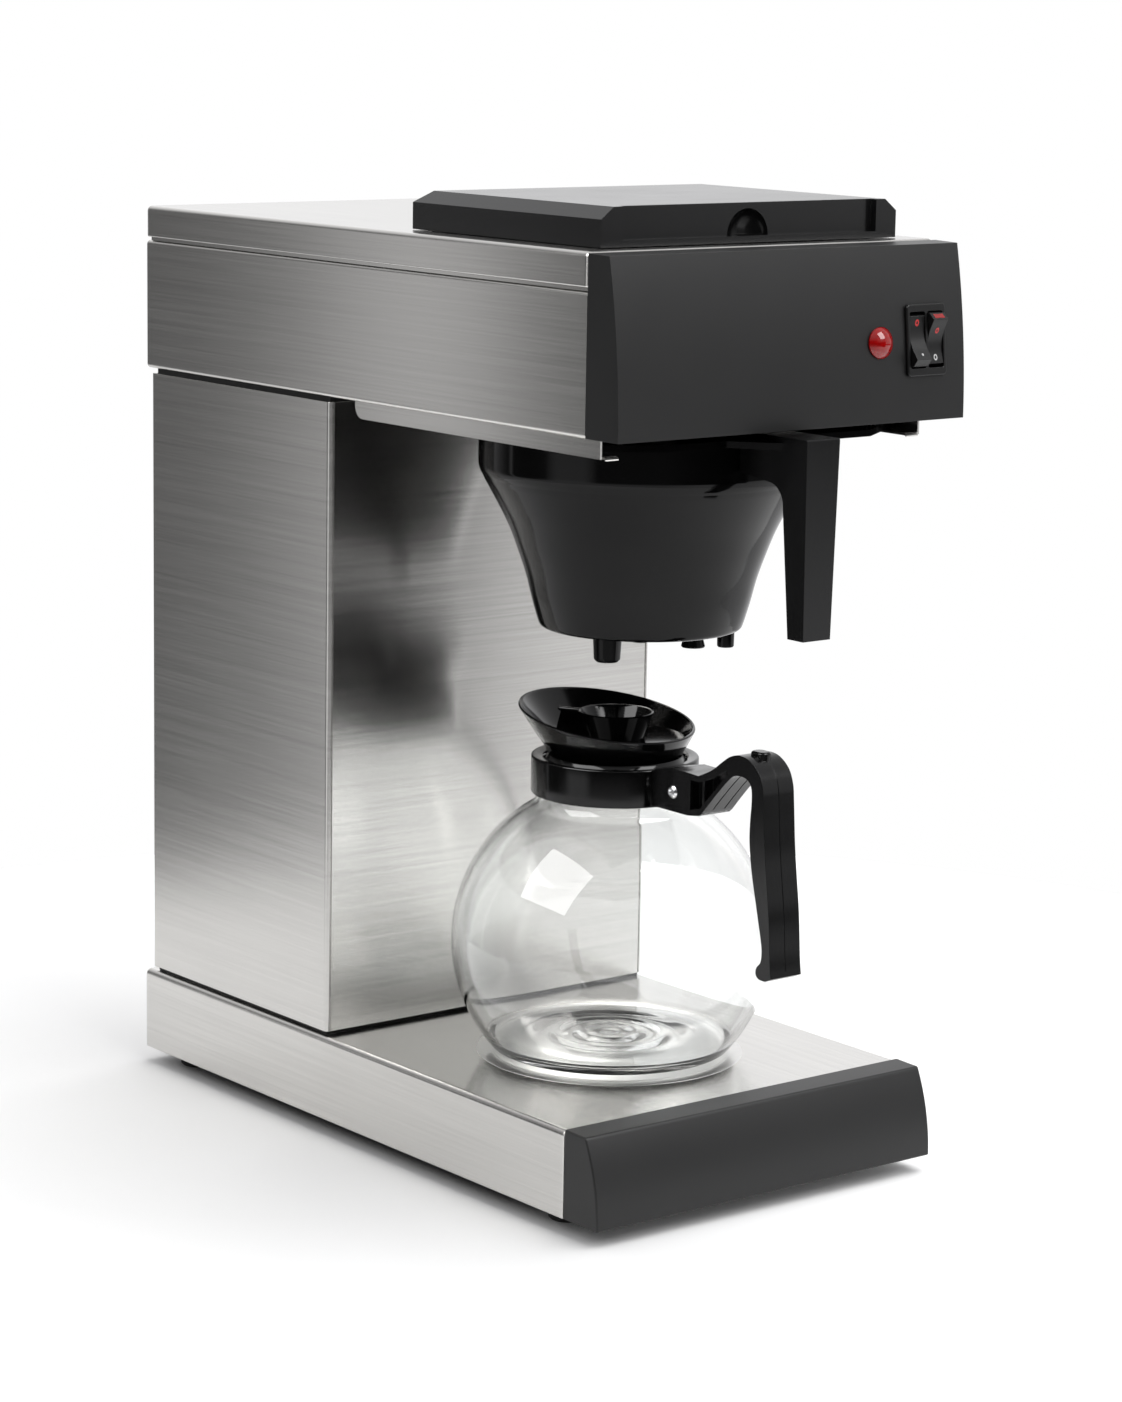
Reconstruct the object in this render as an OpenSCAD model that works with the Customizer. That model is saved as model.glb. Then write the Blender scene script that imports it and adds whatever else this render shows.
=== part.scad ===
// Drip coffee maker: stainless casing, fill lid, water tank, flow heater, pull-out brew
// basket, hot plate and glass jug, each piece a node of its own.
// Millimetres. +Z is up, the front looks toward -Y, the feet stand on z = 0 and the
// origin is under the middle of the whole machine's box.
// Inside the modules y = 0 is the front edge of the upper housing; placed() moves it.

/* [Casing] */
// Width of the stainless casing
body_w = 205; // [203:0.5:207]
// Depth of the upper housing
housing_d = 355.9; // [352:0.1:358]
// Height of the top of the casing
top_z = 445.6; // [444:0.1:447]
// Height of the underside of the upper housing
housing_z = 364; // [363.5:0.1:364.5]
// Height of the base's top face
base_top_z = 49.8; // [49:0.1:50]
// Height of the base's lower edge over the table
base_low_z = 8; // [7:0.5:9]
// Front edge of the stainless base
base_front_y = 5.9; // [5:0.1:7]
// Rear edge of the stainless base
base_back_y = 360.1; // [359:0.1:362]
// Thickness of the casing sheet
sheet_t = 1; // [0.8:0.1:1.2]

/* [Column] */
// Width of the column behind the jug
column_w = 200.3; // [199.5:0.1:201]
// Front face of the column
column_front_y = 197.2; // [196:0.1:199]
// Rear face of the column
column_back_y = 354.9; // [353:0.1:355.5]
// Shadow gap between base and column
column_low_gap = 3.8; // [2:0.1:5]
// Shadow gap between column and upper housing
column_high_gap = 2.7; // [2:0.1:4]

/* [Fill lid] */
// Width of the fill lid
lid_w = 175; // [170:1:180]
// Front face of the fill lid
lid_front_y = 9.6; // [8:0.1:12]
// Rear face of the fill lid
lid_back_y = 149; // [147:0.5:149]
// Top of the fill lid
lid_top_z = 463.8; // [462:0.1:466]

/* [Brewing] */
// Distance of the spray head, jug and hot plate axis from the housing's front edge
brew_y = 100.2; // [99:0.1:101]
// How far the basket stands pulled out of its home position
basket_pull = 17; // [10:0.5:20]
// Radius of the hot plate
plate_r = 64; // [62:0.5:66]
// Outer radius of the glass globe
globe_r = 77.7; // [76:0.1:79]
// Thickness of the glass
glass_t = 2.4; // [2:0.1:3]

/* [Controls] */
// Centre of the twin switch, across
switch_x = 78.3; // [76:0.1:80]
// Centre of the twin switch, height
switch_z = 401.5; // [399:0.1:404]
// Centre of the pilot lamp, across
lamp_x = 50.5; // [48:0.1:53]
// Throw of each rocker, in degrees
rocker_throw = 24; // [18:1:24]

/* [Hidden] */

$fn = 48;
half_w = body_w / 2;
steel = "silver";
black = [0.12, 0.12, 0.13];
gloss = [0.05, 0.05, 0.05];
rubber = [0.16, 0.16, 0.17];
silicone = [0.85, 0.85, 0.82];
brass = [0.78, 0.62, 0.3];
ceramic = [0.9, 0.88, 0.82];

basket_y = brew_y - basket_pull;
handle_front_y = basket_y - 125.2;
gland_tip_y = base_back_y + 9;
mid_y = (handle_front_y + gland_tip_y) / 2;

// ---- drawing helpers -------------------------------------------------------

module placed() {
    translate([0, -mid_y, 0]) children();
}

// Box between two corners
module box(x0, x1, y0, y1, z0, z1) {
    translate([x0, y0, z0]) cube([x1 - x0, y1 - y0, z1 - z0]);
}

// Profile drawn in (x, z), extruded from y0 to y1
module along_y(y0, y1) {
    translate([0, y1, 0]) rotate([90, 0, 0]) linear_extrude(y1 - y0) children();
}

// Profile drawn in (y, z), extruded from x0 to x1
module along_x(x0, x1) {
    translate([x0, 0, 0]) rotate([90, 0, 90]) linear_extrude(x1 - x0) children();
}

// Rod of radius r along y, from y0 to y1
module rod_y(x, z, r, y0, y1) {
    translate([x, y1, z]) rotate([90, 0, 0]) cylinder(h = y1 - y0, r = r);
}

// Rod of radius r along x, from x0 to x1
module rod_x(y, z, r, x0, x1) {
    translate([x0, y, z]) rotate([0, 90, 0]) cylinder(h = x1 - x0, r = r);
}

// Upright rod of radius r, from z0 to z1
module rod_z(x, y, r, z0, z1) {
    translate([x, y, z0]) cylinder(h = z1 - z0, r = r);
}

function arc(cx, cy, r, a0, a1, n = 6) =
    [for (i = [0:n]) [cx + r * cos(a0 + (a1 - a0) * i / n), cy + r * sin(a0 + (a1 - a0) * i / n)]];

function round_rect(w, h, r, n = 5) = concat(
    arc(w / 2 - r, h / 2 - r, r, 0, 90, n),
    arc(-w / 2 + r, h / 2 - r, r, 90, 180, n),
    arc(-w / 2 + r, -h / 2 + r, r, 180, 270, n),
    arc(w / 2 - r, -h / 2 + r, r, 270, 360, n));

// Smooth curve through the points p, with n steps on each stretch
function smooth(p, n = 4) = concat(
    [for (i = [0:len(p) - 2]) for (k = [0:n - 1])
        let (a = p[max(i - 1, 0)], b = p[i], c = p[i + 1], d = p[min(i + 2, len(p) - 1)],
             t = k / n)
        0.5 * (2 * b + (c - a) * t + (2 * a - 5 * b + 4 * c - d) * t * t
            + (3 * b - a - 3 * c + d) * t * t * t)],
    [p[len(p) - 1]]);

// Front face of a moulded front trim: upright at its foot and curving back to its top.
// Points in (y, z), from the foot up, moved inward by t
function bulge(y_top, z_top, y_low, z_low, t = 0, n = 10) =
    let (h = z_top - z_low, d = y_top - y_low, r = (h * h + d * d) / (2 * d),
         a0 = asin(t / (r - t)), a1 = asin((h - t) / (r - t)))
    [for (i = [0:n]) let (a = a0 + (a1 - a0) * i / n)
        [y_low + r - (r - t) * cos(a), z_low + (r - t) * sin(a)]];

// y of that front face at height z
function bulge_y(z, y_top, z_top, y_low, z_low) =
    let (h = z_top - z_low, d = y_top - y_low, r = (h * h + d * d) / (2 * d))
    y_low + r - sqrt(r * r - (z - z_low) * (z - z_low));

// ---- base ------------------------------------------------------------------

base_sheet = 1.2;
fold_r = 3;
foot_x = 83;
foot_y = [26, 338];
foot_top_z = base_low_z + 1;
plate_top_z = base_top_z + 2.4;
plate_rim_z = base_top_z + 1;
gland_x = 60;
gland_z = 29;
gland_bore_r = 4;
gland_thread_r = 8;
block_y = 292;
hole_y = 320;

module base_profile(inset) {
    w = half_w - inset;
    r = fold_r - inset;
    polygon(concat([[w, base_low_z - 2 * inset]],
        arc(w - r, base_top_z - inset - r, r, 0, 90),
        arc(-w + r, base_top_z - inset - r, r, 90, 180),
        [[-w, base_low_z - 2 * inset]]));
}

module base_shell() placed() color(steel) difference() {
    along_y(base_front_y, base_back_y) base_profile(0);
    along_y(base_front_y - 1, base_back_y - base_sheet) base_profile(base_sheet);
    rod_z(0, brew_y, plate_r - 4, base_top_z - 3, base_top_z + 1);
    for (x = [-40, 40]) rod_z(x, hole_y, 9, base_top_z - 3, base_top_z + 1);
    rod_y(gland_x, gland_z, gland_thread_r + 0.1, base_back_y - 3, base_back_y + 1);
}

module base_bottom_plate() placed() color(steel) difference() {
    box(-half_w + 2, half_w - 2, base_front_y + 1, base_back_y - 2, foot_top_z, foot_top_z + 1.2);
    for (x = [-foot_x, foot_x]) for (y = foot_y) rod_z(x, y, 2.3, base_low_z, 12);
    for (i = [0:7]) box(-30, 30, 150 + 12 * i, 154 + 12 * i, base_low_z, 12);
}

base_trim = [-9.6, base_top_z + 0.3, -19.1, base_low_z];

module trim_profile(t) {
    top = base_trim[1] - t;
    face = bulge(base_trim[0], base_trim[1], base_trim[2], base_trim[3], t);
    polygon(concat(face, [[base_front_y - 0.2, top + 0.4], [base_front_y - 0.2, base_low_z + t]]));
}

module base_front_trim() placed() color(black) {
    difference() {
        along_x(-half_w + 0.2, half_w - 0.2) trim_profile(0);
        difference() {
            along_x(-half_w + 2.7, half_w - 2.7) trim_profile(2.5);
            for (x = [-60, 0, 60]) box(x - 1, x + 1, -30, base_front_y, 0, base_top_z);
        }
        box(-half_w + 2.7, half_w - 2.7, base_front_y - 3, base_front_y + 1,
            base_low_z + 2.5, base_top_z - 2.5);
    }
    for (x = [-70, 70]) box(x - 8, x + 8, 0, base_front_y + 14, base_top_z - 4.5, base_top_z - 1.6);
}

module feet() placed() color(rubber) {
    for (x = [-foot_x, foot_x]) for (y = foot_y) translate([x, y, 0]) difference() {
        cylinder(h = foot_top_z, r1 = 9, r2 = 10.5);
        translate([0, 0, -1]) cylinder(h = foot_top_z + 2, r = 2.3);
        translate([0, 0, -1]) cylinder(h = 5, r = 4.6);
    }
}

module foot_screws() placed() color(steel) {
    for (x = [-foot_x, foot_x]) for (y = foot_y) translate([x, y, 0]) difference() {
        union() {
            translate([0, 0, 1.6]) cylinder(h = 2.4, r = 3.9);
            translate([0, 0, 3]) cylinder(h = 11, r = 2.1);
        }
        translate([-0.5, -3, 1]) cube([1, 6, 1.6]);
    }
}

module hot_plate() placed() color([0.72, 0.72, 0.73]) translate([0, brew_y, 0]) {
    rotate_extrude($fn = 96) polygon(concat(
        [[0, plate_rim_z - 0.2], [0, plate_top_z - 0.2], [plate_r - 12, plate_top_z - 0.2],
            [plate_r - 10, plate_top_z]],
        arc(plate_r - 1.4, plate_top_z - 1.4, 1.4, 90, 0),
        [[plate_r - 4.6, plate_rim_z], [plate_r - 4.6, 45], [plate_r - 6.2, 45],
            [plate_r - 6.2, plate_rim_z - 0.2]]));
    translate([0, 0, 33]) cylinder(h = plate_rim_z - 32.6, r = 3);
}

module plate_seal() placed() color(rubber) translate([0, brew_y, base_top_z]) difference() {
    cylinder(h = 1, r = plate_r - 0.8, $fn = 96);
    translate([0, 0, -1]) cylinder(h = 3, r = plate_r - 3.8, $fn = 96);
}

ring_r = 42;
ring_z = plate_rim_z - 0.2 - 3.5;

module plate_heater() placed() color([0.35, 0.3, 0.28]) translate([0, brew_y, ring_z]) {
    rotate([0, 0, 110]) rotate_extrude(angle = 320, $fn = 96) translate([ring_r, 0]) circle(r = 3.5);
    for (a = [110, 70]) rotate([0, 0, a]) translate([ring_r, 0, -13]) {
        cylinder(h = 13, r = 2);
        translate([0, 0, -6]) cylinder(h = 7, r = 1);
    }
}

module plate_clamp() placed() color(steel) translate([0, brew_y, ring_z - 3.5 - 1.6]) difference() {
    cylinder(h = 1.6, r = 52);
    translate([0, 0, -1]) cylinder(h = 4, r = 3.2);
    for (a = [110, 70]) rotate([0, 0, a]) translate([ring_r, 0, -1]) cylinder(h = 4, r = 3);
}

module clamp_nut() placed() color(steel) translate([0, brew_y, ring_z - 5.1 - 5]) difference() {
    cylinder(h = 5, r = 5.8, $fn = 6);
    translate([0, 0, -1]) cylinder(h = 7, r = 3.05);
}

module plate_thermostat() placed() color(ceramic) translate([24, brew_y, ring_z - 5.1]) {
    translate([0, 0, -7]) cylinder(h = 7, r = 8.5);
    for (x = [-4, 4]) translate([x - 1.5, -0.4, -14]) cube([3, 0.8, 8]);
}

module terminal_block() placed() color(ceramic) difference() {
    box(38, 82, block_y, block_y + 18, foot_top_z + 1.2, foot_top_z + 13);
    for (x = [46, 60, 74]) rod_y(x, foot_top_z + 6, 2.5, block_y - 1, block_y + 19);
    for (x = [46, 60, 74]) rod_z(x, block_y + 9, 2.5, foot_top_z + 8, foot_top_z + 14);
}

module cord_gland() placed() color(black) difference() {
    union() {
        translate([gland_x, base_back_y + 5, gland_z]) rotate([90, 0, 0]) cylinder(h = 5, r = 11, $fn = 6);
        rod_y(gland_x, gland_z, gland_thread_r, base_back_y - 12, base_back_y + 1);
        translate([gland_x, gland_tip_y, gland_z]) rotate([90, 0, 0]) cylinder(h = 5, r1 = 6.5, r2 = 8.5);
    }
    rod_y(gland_x, gland_z, gland_bore_r, base_back_y - 13, gland_tip_y + 1);
}

module gland_nut() placed() color(black) difference() {
    translate([gland_x, base_back_y - base_sheet, gland_z]) rotate([90, 0, 0]) cylinder(h = 5,
        r = 11.5, $fn = 6);
    rod_y(gland_x, gland_z, gland_thread_r + 0.05, base_back_y - 8, base_back_y);
}

module earth_screw() placed() color(brass) {
    rod_y(30, gland_z, 2, base_back_y - 12, base_back_y - base_sheet);
    translate([30, base_back_y - 3, gland_z]) rotate([90, 0, 0]) cylinder(h = 3, r = 4.2, $fn = 6);
}

// ---- column ----------------------------------------------------------------

column_half = column_w / 2;
column_low_z = base_top_z + column_low_gap;
column_high_z = housing_z - column_high_gap;
cover_y = column_back_y - 1;
cover_screw_x = 94;
cover_screw_z = [75, 340];

module column_frame() placed() color([0.55, 0.56, 0.57]) difference() {
    box(-column_half + 1.3, column_half - 1.3, column_front_y + 1.5, cover_y - 2.4, base_top_z, housing_z);
    box(-column_half + 2.5, column_half - 2.5, column_front_y + 2.7, cover_y, base_top_z - 1,
        housing_z + 1);
}

module column_shell() placed() color(steel) {
    r = 2.2;
    outer = concat([[-column_half, cover_y - 0.1]],
        arc(-column_half + r, column_front_y + r, r, 180, 270, 5),
        arc(column_half - r, column_front_y + r, r, 270, 360, 5), [[column_half, cover_y - 0.1]]);
    in_w = column_half - sheet_t;
    in_y = column_front_y + sheet_t;
    in_r = r - sheet_t;
    inner = concat([[-in_w, cover_y - 1.1]],
        arc(-in_w + in_r, in_y + in_r, in_r, 180, 270, 5),
        arc(in_w - in_r, in_y + in_r, in_r, 270, 360, 5), [[in_w, cover_y - 1.1]]);
    difference() {
        translate([0, 0, column_low_z]) linear_extrude(column_high_z - column_low_z) polygon(outer);
        translate([0, 0, column_low_z - 1]) linear_extrude(column_high_z - column_low_z + 2) polygon(inner);
        box(-column_half + 14, column_half - 14, cover_y - 3, cover_y + 1, 0, housing_z);
        for (x = [-cover_screw_x, cover_screw_x]) for (z = cover_screw_z) rod_y(x, z, 1.8, cover_y - 3,
            cover_y + 1);
    }
}

module rear_cover() placed() color(steel) difference() {
    box(-column_half + 1, column_half - 1, cover_y, column_back_y, column_low_z + 1, column_high_z - 1);
    for (x = [-cover_screw_x, cover_screw_x]) for (z = cover_screw_z) rod_y(x, z, 2.3, cover_y - 1,
        column_back_y + 1);
    for (i = [0:7]) box(-40, 40, cover_y - 1, column_back_y + 1, 290 + 7 * i, 293 + 7 * i);
    for (i = [0:7]) box(-40, 40, cover_y - 1, column_back_y + 1, 75 + 7 * i, 78 + 7 * i);
}

module rear_cover_screws() placed() color(steel) {
    for (x = [-cover_screw_x, cover_screw_x]) for (z = cover_screw_z) {
        rod_y(x, z, 1.75, cover_y - 9, column_back_y + 0.5);
        translate([x, column_back_y, z]) rotate([-90, 0, 0]) cylinder(h = 2, r1 = 3.6, r2 = 2.6);
    }
}

// ---- upper housing ---------------------------------------------------------

side_half = half_w - 0.4;
side_top_z = 428.4;
collar_half = side_half - 1.6;
cap_low_z = 430;
cap_front_y = -1;
cap_back_y = housing_d + 0.5;
fill_half = 72;
fill_y = [30, 135];
fascia_back_y = -1.2;
fascia_top_z = top_z - 1;
fascia_front = [-15.8, fascia_top_z, -23.8, housing_z + 0.5];
fascia_half = half_w + 0.4;
rail_screw_y = [22, 95, 165];
rail_screw_x = 89;

// Outline of the housing's cross-section in (x, z), inset by t
module housing_profile(t) {
    w = side_half - t;
    r = 1.5;
    polygon(concat([[w - r, side_top_z - t]], [[w, side_top_z - t - r]],
        arc(w - r, housing_z + t + r, r, 0, -90, 4), arc(-w + r, housing_z + t + r, r, 270, 180, 4),
        [[-w, side_top_z - t - r], [-w + r, side_top_z - t]]));
}

module upper_housing() placed() color(steel) difference() {
    union() {
        difference() {
            along_y(0, housing_d) housing_profile(0);
            along_y(-1, housing_d - sheet_t) housing_profile(sheet_t);
            box(-collar_half + sheet_t, collar_half - sheet_t, -1, housing_d - 2.6,
                side_top_z - 3, side_top_z + 1);
        }
        difference() {
            box(-collar_half, collar_half, 0.6, housing_d - 1.6, side_top_z - 1, 441);
            box(-collar_half + sheet_t, collar_half - sheet_t, -1, housing_d - 2.6, side_top_z - 2, 442);
        }
        for (s = [-1, 1]) box(s * 94 - 6.5, s * 94 + 6.5, 0, sheet_t, housing_z + 0.5, 425);
        box(-side_half + 1, side_half - 1, 0, sheet_t, housing_z + 0.5, housing_z + 10);
    }
    rod_z(0, brew_y, 15, housing_z - 1, housing_z + 2);
    box(-75, 75, 220, 335, housing_z - 1, housing_z + 2);
    for (x = [-rail_screw_x, rail_screw_x]) for (y = rail_screw_y) rod_z(x, y, 1.8, housing_z - 1,
        housing_z + 2);
    for (x = [-92, 92]) for (z = [375, 420]) rod_y(x, z, 1.8, -1, 2);
}

module cap_profile(t) {
    w = half_w + 0.1 - t;
    r = 2.5 - t;
    polygon(concat([[w, cap_low_z - 3 * t]], arc(w - r, top_z - t - r, r, 0, 90, 5),
        arc(-w + r, top_z - t - r, r, 90, 180, 5), [[-w, cap_low_z - 3 * t]]));
}

module cap_side_profile(t) {
    r = 2.5 - t;
    polygon(concat([[cap_front_y + t, cap_low_z - 3 * t]],
        arc(cap_front_y + t + r, top_z - t - r, r, 180, 90, 5),
        arc(cap_back_y - t - r, top_z - t - r, r, 90, 0, 5), [[cap_back_y - t, cap_low_z - 3 * t]]));
}

module cap_block(t) {
    intersection() {
        along_y(cap_front_y - 1, cap_back_y + 1) cap_profile(t);
        along_x(-half_w - 1, half_w + 1) cap_side_profile(t);
    }
}

module top_cover() placed() color(steel) difference() {
    cap_block(0);
    cap_block(sheet_t);
    translate([0, (fill_y[0] + fill_y[1]) / 2, top_z - 3]) linear_extrude(5)
        polygon(round_rect(2 * fill_half, fill_y[1] - fill_y[0], 8));
}

module fascia_profile(t) {
    face = bulge(fascia_front[0], fascia_front[1], fascia_front[2], fascia_front[3], t);
    polygon(concat(face, [[fascia_back_y, top_z - 0.6 - t], [fascia_back_y, fascia_front[3] + t]]));
}

// Local frame of the controls: origin on the fascia's face at (x, z), -y outward
module on_fascia(x, z) {
    y = bulge_y(z, fascia_front[0], fascia_front[1], fascia_front[2], fascia_front[3]);
    h = fascia_front[1] - fascia_front[3];
    d = fascia_front[0] - fascia_front[2];
    r = (h * h + d * d) / (2 * d);
    translate([x, y, z]) rotate([-asin((z - fascia_front[3]) / r), 0, 0]) children();
}

cutout = [22, 31];
lamp_z = 401.2;
boss_z = [375, 420];

module front_fascia() placed() color(black) difference() {
    union() {
        difference() {
            along_x(-fascia_half, fascia_half) fascia_profile(0);
            along_x(-fascia_half + 2.5, fascia_half - 2.5) fascia_profile(2.5);
            box(-fascia_half + 2.5, fascia_half - 2.5, fascia_back_y - 3, 1, fascia_front[3] + 2.5,
                top_z - 3.1);
        }
        intersection() {
            along_x(-fascia_half, fascia_half) fascia_profile(1);
            union() {
                for (x = [-92, 92]) for (z = boss_z) rod_y(x, z, 4.5, -24, fascia_back_y);
                for (x = [-30, 20]) box(x - 1, x + 1, -25, -8, fascia_front[3] + 1, top_z);
            }
        }
    }
    for (x = [-92, 92]) for (z = boss_z) rod_y(x, z, 1.5, -14, 0);
    on_fascia(switch_x, switch_z) translate([-cutout[0] / 2, -5, -cutout[1] / 2]) cube([cutout[0], 12,
        cutout[1]]);
    on_fascia(lamp_x, lamp_z) translate([0, 6, 0]) rotate([90, 0, 0]) cylinder(h = 12, r = 5.6);
}

module fascia_screws() placed() color(steel) {
    for (x = [-92, 92]) for (z = boss_z) {
        rod_y(x, z, 1.45, -12, 1.5);
        rod_y(x, z, 3, sheet_t, 3.2);
    }
}

rail_in = 86;
rail_out = 95.4;
rail_low_z = 355;
rail_end_y = 183;

// Side rail: a foot against the housing, an upright web, a shelf that carries the basket
// and a lip that leads it in
module rail() {
    along_x(rail_out - 1, rail_out) polygon(concat([[-2.5, housing_z]], [[-2.5, rail_low_z]],
        arc(rail_end_y - 6, rail_low_z + 6, 6, -90, 0, 4), [[rail_end_y, housing_z]]));
    box(rail_in, rail_out - 0.5, -2.5, rail_end_y - 6, rail_low_z, rail_low_z + 1);
    along_x(rail_in, rail_out - 2) polygon([[-2.4, rail_low_z], [-2.4, rail_low_z + 1],
        [-6.5, rail_low_z - 0.8], [-6.5, rail_low_z - 1.8]]);
    difference() {
        box(84, rail_out - 0.5, 8, rail_end_y - 2, housing_z - 1, housing_z);
        for (y = rail_screw_y) rod_z(rail_screw_x, y, 1.8, housing_z - 2, housing_z + 1);
    }
}

module right_rail() placed() color(steel) rail();

module left_rail() placed() color(steel) mirror([1, 0, 0]) rail();

module rail_screws() placed() color(steel) {
    for (x = [-rail_screw_x, rail_screw_x]) for (y = rail_screw_y) {
        rod_z(x, y, 1.7, housing_z - 2, housing_z + 6);
        translate([x, y, housing_z - 2.6]) cylinder(h = 1.6, r1 = 2.4, r2 = 3.2);
    }
}

// ---- water system ----------------------------------------------------------

tank_low_z = 383;
tank_high_z = 440;
tank_half = 88;
tank_y = [16, 185];
outlet_x = 35;
outlet_z = 391;
hose_in_r = 5.05;
hose_out_r = 7.5;
heater_y = 275;
riser_z = 373.7;
bend_r = 15;

module water_tank() placed() color([0.8, 0.82, 0.84]) difference() {
    union() {
        box(-tank_half, tank_half, tank_y[0], tank_y[1], tank_low_z, tank_high_z);
        box(-tank_half - 6, tank_half + 6, tank_y[0] - 5, tank_y[1] + 6, tank_high_z - 2, tank_high_z);
        for (x = [-76, 76]) for (y = [34, 170]) rod_z(x, y, 5, housing_z + sheet_t, tank_low_z + 1);
        rod_y(outlet_x, outlet_z, 5, tank_y[1] - 1, tank_y[1] + 14);
    }
    box(-tank_half + 2.2, tank_half - 2.2, tank_y[0] + 2.2, tank_y[1] - 2.2, tank_low_z + 2.2,
        tank_high_z + 1);
    rod_y(outlet_x, outlet_z, 3.5, tank_y[1] - 4, tank_y[1] + 15);
}

module outlet_strainer() placed() color([0.7, 0.7, 0.72]) difference() {
    rod_y(outlet_x, outlet_z + 1.5, 7, tank_y[1] - 6, tank_y[1] - 2.2);
    rod_y(outlet_x, outlet_z + 1.5, 5.8, tank_y[1] - 5, tank_y[1] - 1);
    for (i = [-2:2]) box(outlet_x + 2 * i - 0.5, outlet_x + 2 * i + 0.5, tank_y[1] - 8, tank_y[1] - 4,
        outlet_z - 2.5, outlet_z + 5.5);
}

// A quarter bend of a hose of radius r, starting at the origin along +x and turning to -z
module quarter_bend(r) {
    translate([0, 0, -bend_r]) rotate([90, 0, 0]) rotate_extrude(angle = 90) translate([bend_r, 0])
        circle(r = r);
}

u_bend_r = outlet_x / 2;
u_bend_z = 80;

// Hose from the tank's outlet: level, down the column and up into the heater
module cold_path(r, extra) {
    top_y = heater_y - bend_r;
    rod_y(outlet_x, outlet_z, r, tank_y[1] + 2 - extra, top_y);
    translate([outlet_x, top_y, outlet_z]) rotate([0, 0, 90]) quarter_bend(r);
    rod_z(outlet_x, heater_y, r, u_bend_z, outlet_z - bend_r);
    translate([outlet_x - u_bend_r, heater_y, u_bend_z]) rotate([-90, 0, 0])
        rotate_extrude(angle = 180) translate([u_bend_r, 0]) circle(r = r);
    rod_z(0, heater_y, r, u_bend_z, 99 + extra);
}

module cold_hose() placed() color(silicone) difference() {
    cold_path(hose_out_r, 0);
    cold_path(hose_in_r, 1);
}

module check_valve() placed() color([0.75, 0.3, 0.2]) translate([0, heater_y, u_bend_z + 0.4])
    difference() {
    cylinder(h = 5, r = hose_in_r - 0.05);
    translate([0, 0, -1]) cylinder(h = 4.2, r = 3.6);
    translate([-0.3, -3, 2]) cube([0.6, 6, 5]);
}

module hose_clamp() {
    difference() {
        union() {
            cylinder(h = 6, r = hose_out_r + 1);
            translate([-3, hose_out_r, 0]) cube([6, 5, 6]);
        }
        translate([0, 0, -1]) cylinder(h = 8, r = hose_out_r + 0.05);
        translate([-0.8, hose_out_r - 2, -1]) cube([1.6, 9, 8]);
    }
}

module hose_clamps() placed() color(steel) {
    translate([outlet_x, tank_y[1] + 11, outlet_z]) rotate([90, 0, 0]) hose_clamp();
    translate([0, heater_y, 90]) hose_clamp();
    translate([0, heater_y, 306]) hose_clamp();
    translate([0, brew_y + 28, riser_z]) rotate([90, 90, 0]) hose_clamp();
}

rod_x0 = -26;
web_x = rod_x0 / 2;
lug_z = [130, 260];

module flow_heater() placed() color([0.78, 0.79, 0.8]) difference() {
    union() {
        rod_z(0, heater_y, 8, 100, 300);
        rod_z(0, heater_y, 5, 86, 314);
        rod_z(rod_x0, heater_y, 8, 100, 300);
        box(rod_x0, 0, heater_y - 5, heater_y + 5, 104, 296);
        for (z = lug_z) box(web_x - 7, web_x + 7, heater_y + 4, heater_y + 10, z - 7, z + 7);
    }
    rod_z(0, heater_y, 3.5, 80, 320);
    rod_z(rod_x0, heater_y, 4.1, 90, 310);
    for (z = lug_z) rod_y(web_x, z, 1.6, heater_y - 2, heater_y + 12);
}

module heating_rod() placed() color([0.35, 0.3, 0.28]) {
    rod_z(rod_x0, heater_y, 4.05, 94, 306);
    rod_z(rod_x0, heater_y, 1.6, 84, 316);
}

module heater_bracket() placed() color([0.55, 0.56, 0.57]) difference() {
    union() {
        box(web_x - 9, web_x + 9, heater_y + 10, heater_y + 11.5, base_top_z, 290);
        box(web_x - 9, web_x + 9, heater_y + 10, heater_y + 34, base_top_z, base_top_z + 1.5);
    }
    for (z = lug_z) rod_y(web_x, z, 1.9, heater_y + 9, heater_y + 13);
}

module heater_screws() placed() color(steel) {
    for (z = lug_z) {
        rod_y(web_x, z, 1.55, heater_y, heater_y + 12);
        rod_y(web_x, z, 3, heater_y + 11.5, heater_y + 13.8);
    }
}

module heater_thermostat() placed() color(ceramic) {
    rod_y(web_x, 205, 6, heater_y - 13, heater_y - 5);
    for (s = [-3, 3]) box(web_x + s - 1.5, web_x + s + 1.5, heater_y - 21, heater_y - 12, 204.6, 205.4);
}

module thermal_fuse() placed() color([0.8, 0.75, 0.6]) {
    rod_z(web_x, heater_y - 7.3, 2.3, 228, 244);
    rod_z(web_x, heater_y - 7.3, 0.6, 218, 254);
}

module riser_path(r, extra) {
    rod_z(0, heater_y, r, 302 - extra, riser_z - bend_r);
    translate([0, heater_y - bend_r, riser_z]) rotate([0, 0, 90]) quarter_bend(r);
    rod_y(0, riser_z, r, brew_y + 17 - extra, heater_y - bend_r);
}

module riser_hose() placed() color(silicone) difference() {
    riser_path(hose_out_r, 0);
    riser_path(hose_in_r, 1);
}

module spray_head() placed() color([0.75, 0.76, 0.78]) difference() {
    union() {
        rod_z(0, brew_y, 13, housing_z + sheet_t + 0.1, 381.5);
        rod_z(0, brew_y, 11, 361.5, 370);
        rod_z(0, brew_y, 32, 361.5, 363.2);
        rod_y(0, riser_z, 5, brew_y + 10, brew_y + 30);
    }
    rod_z(0, brew_y, 9, 363, 379.5);
    rod_y(0, riser_z, 3.5, brew_y, brew_y + 31);
    for (a = [0:45:315]) rotate_about(a) rod_z(6, brew_y, 1, 360, 365);
}

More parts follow.
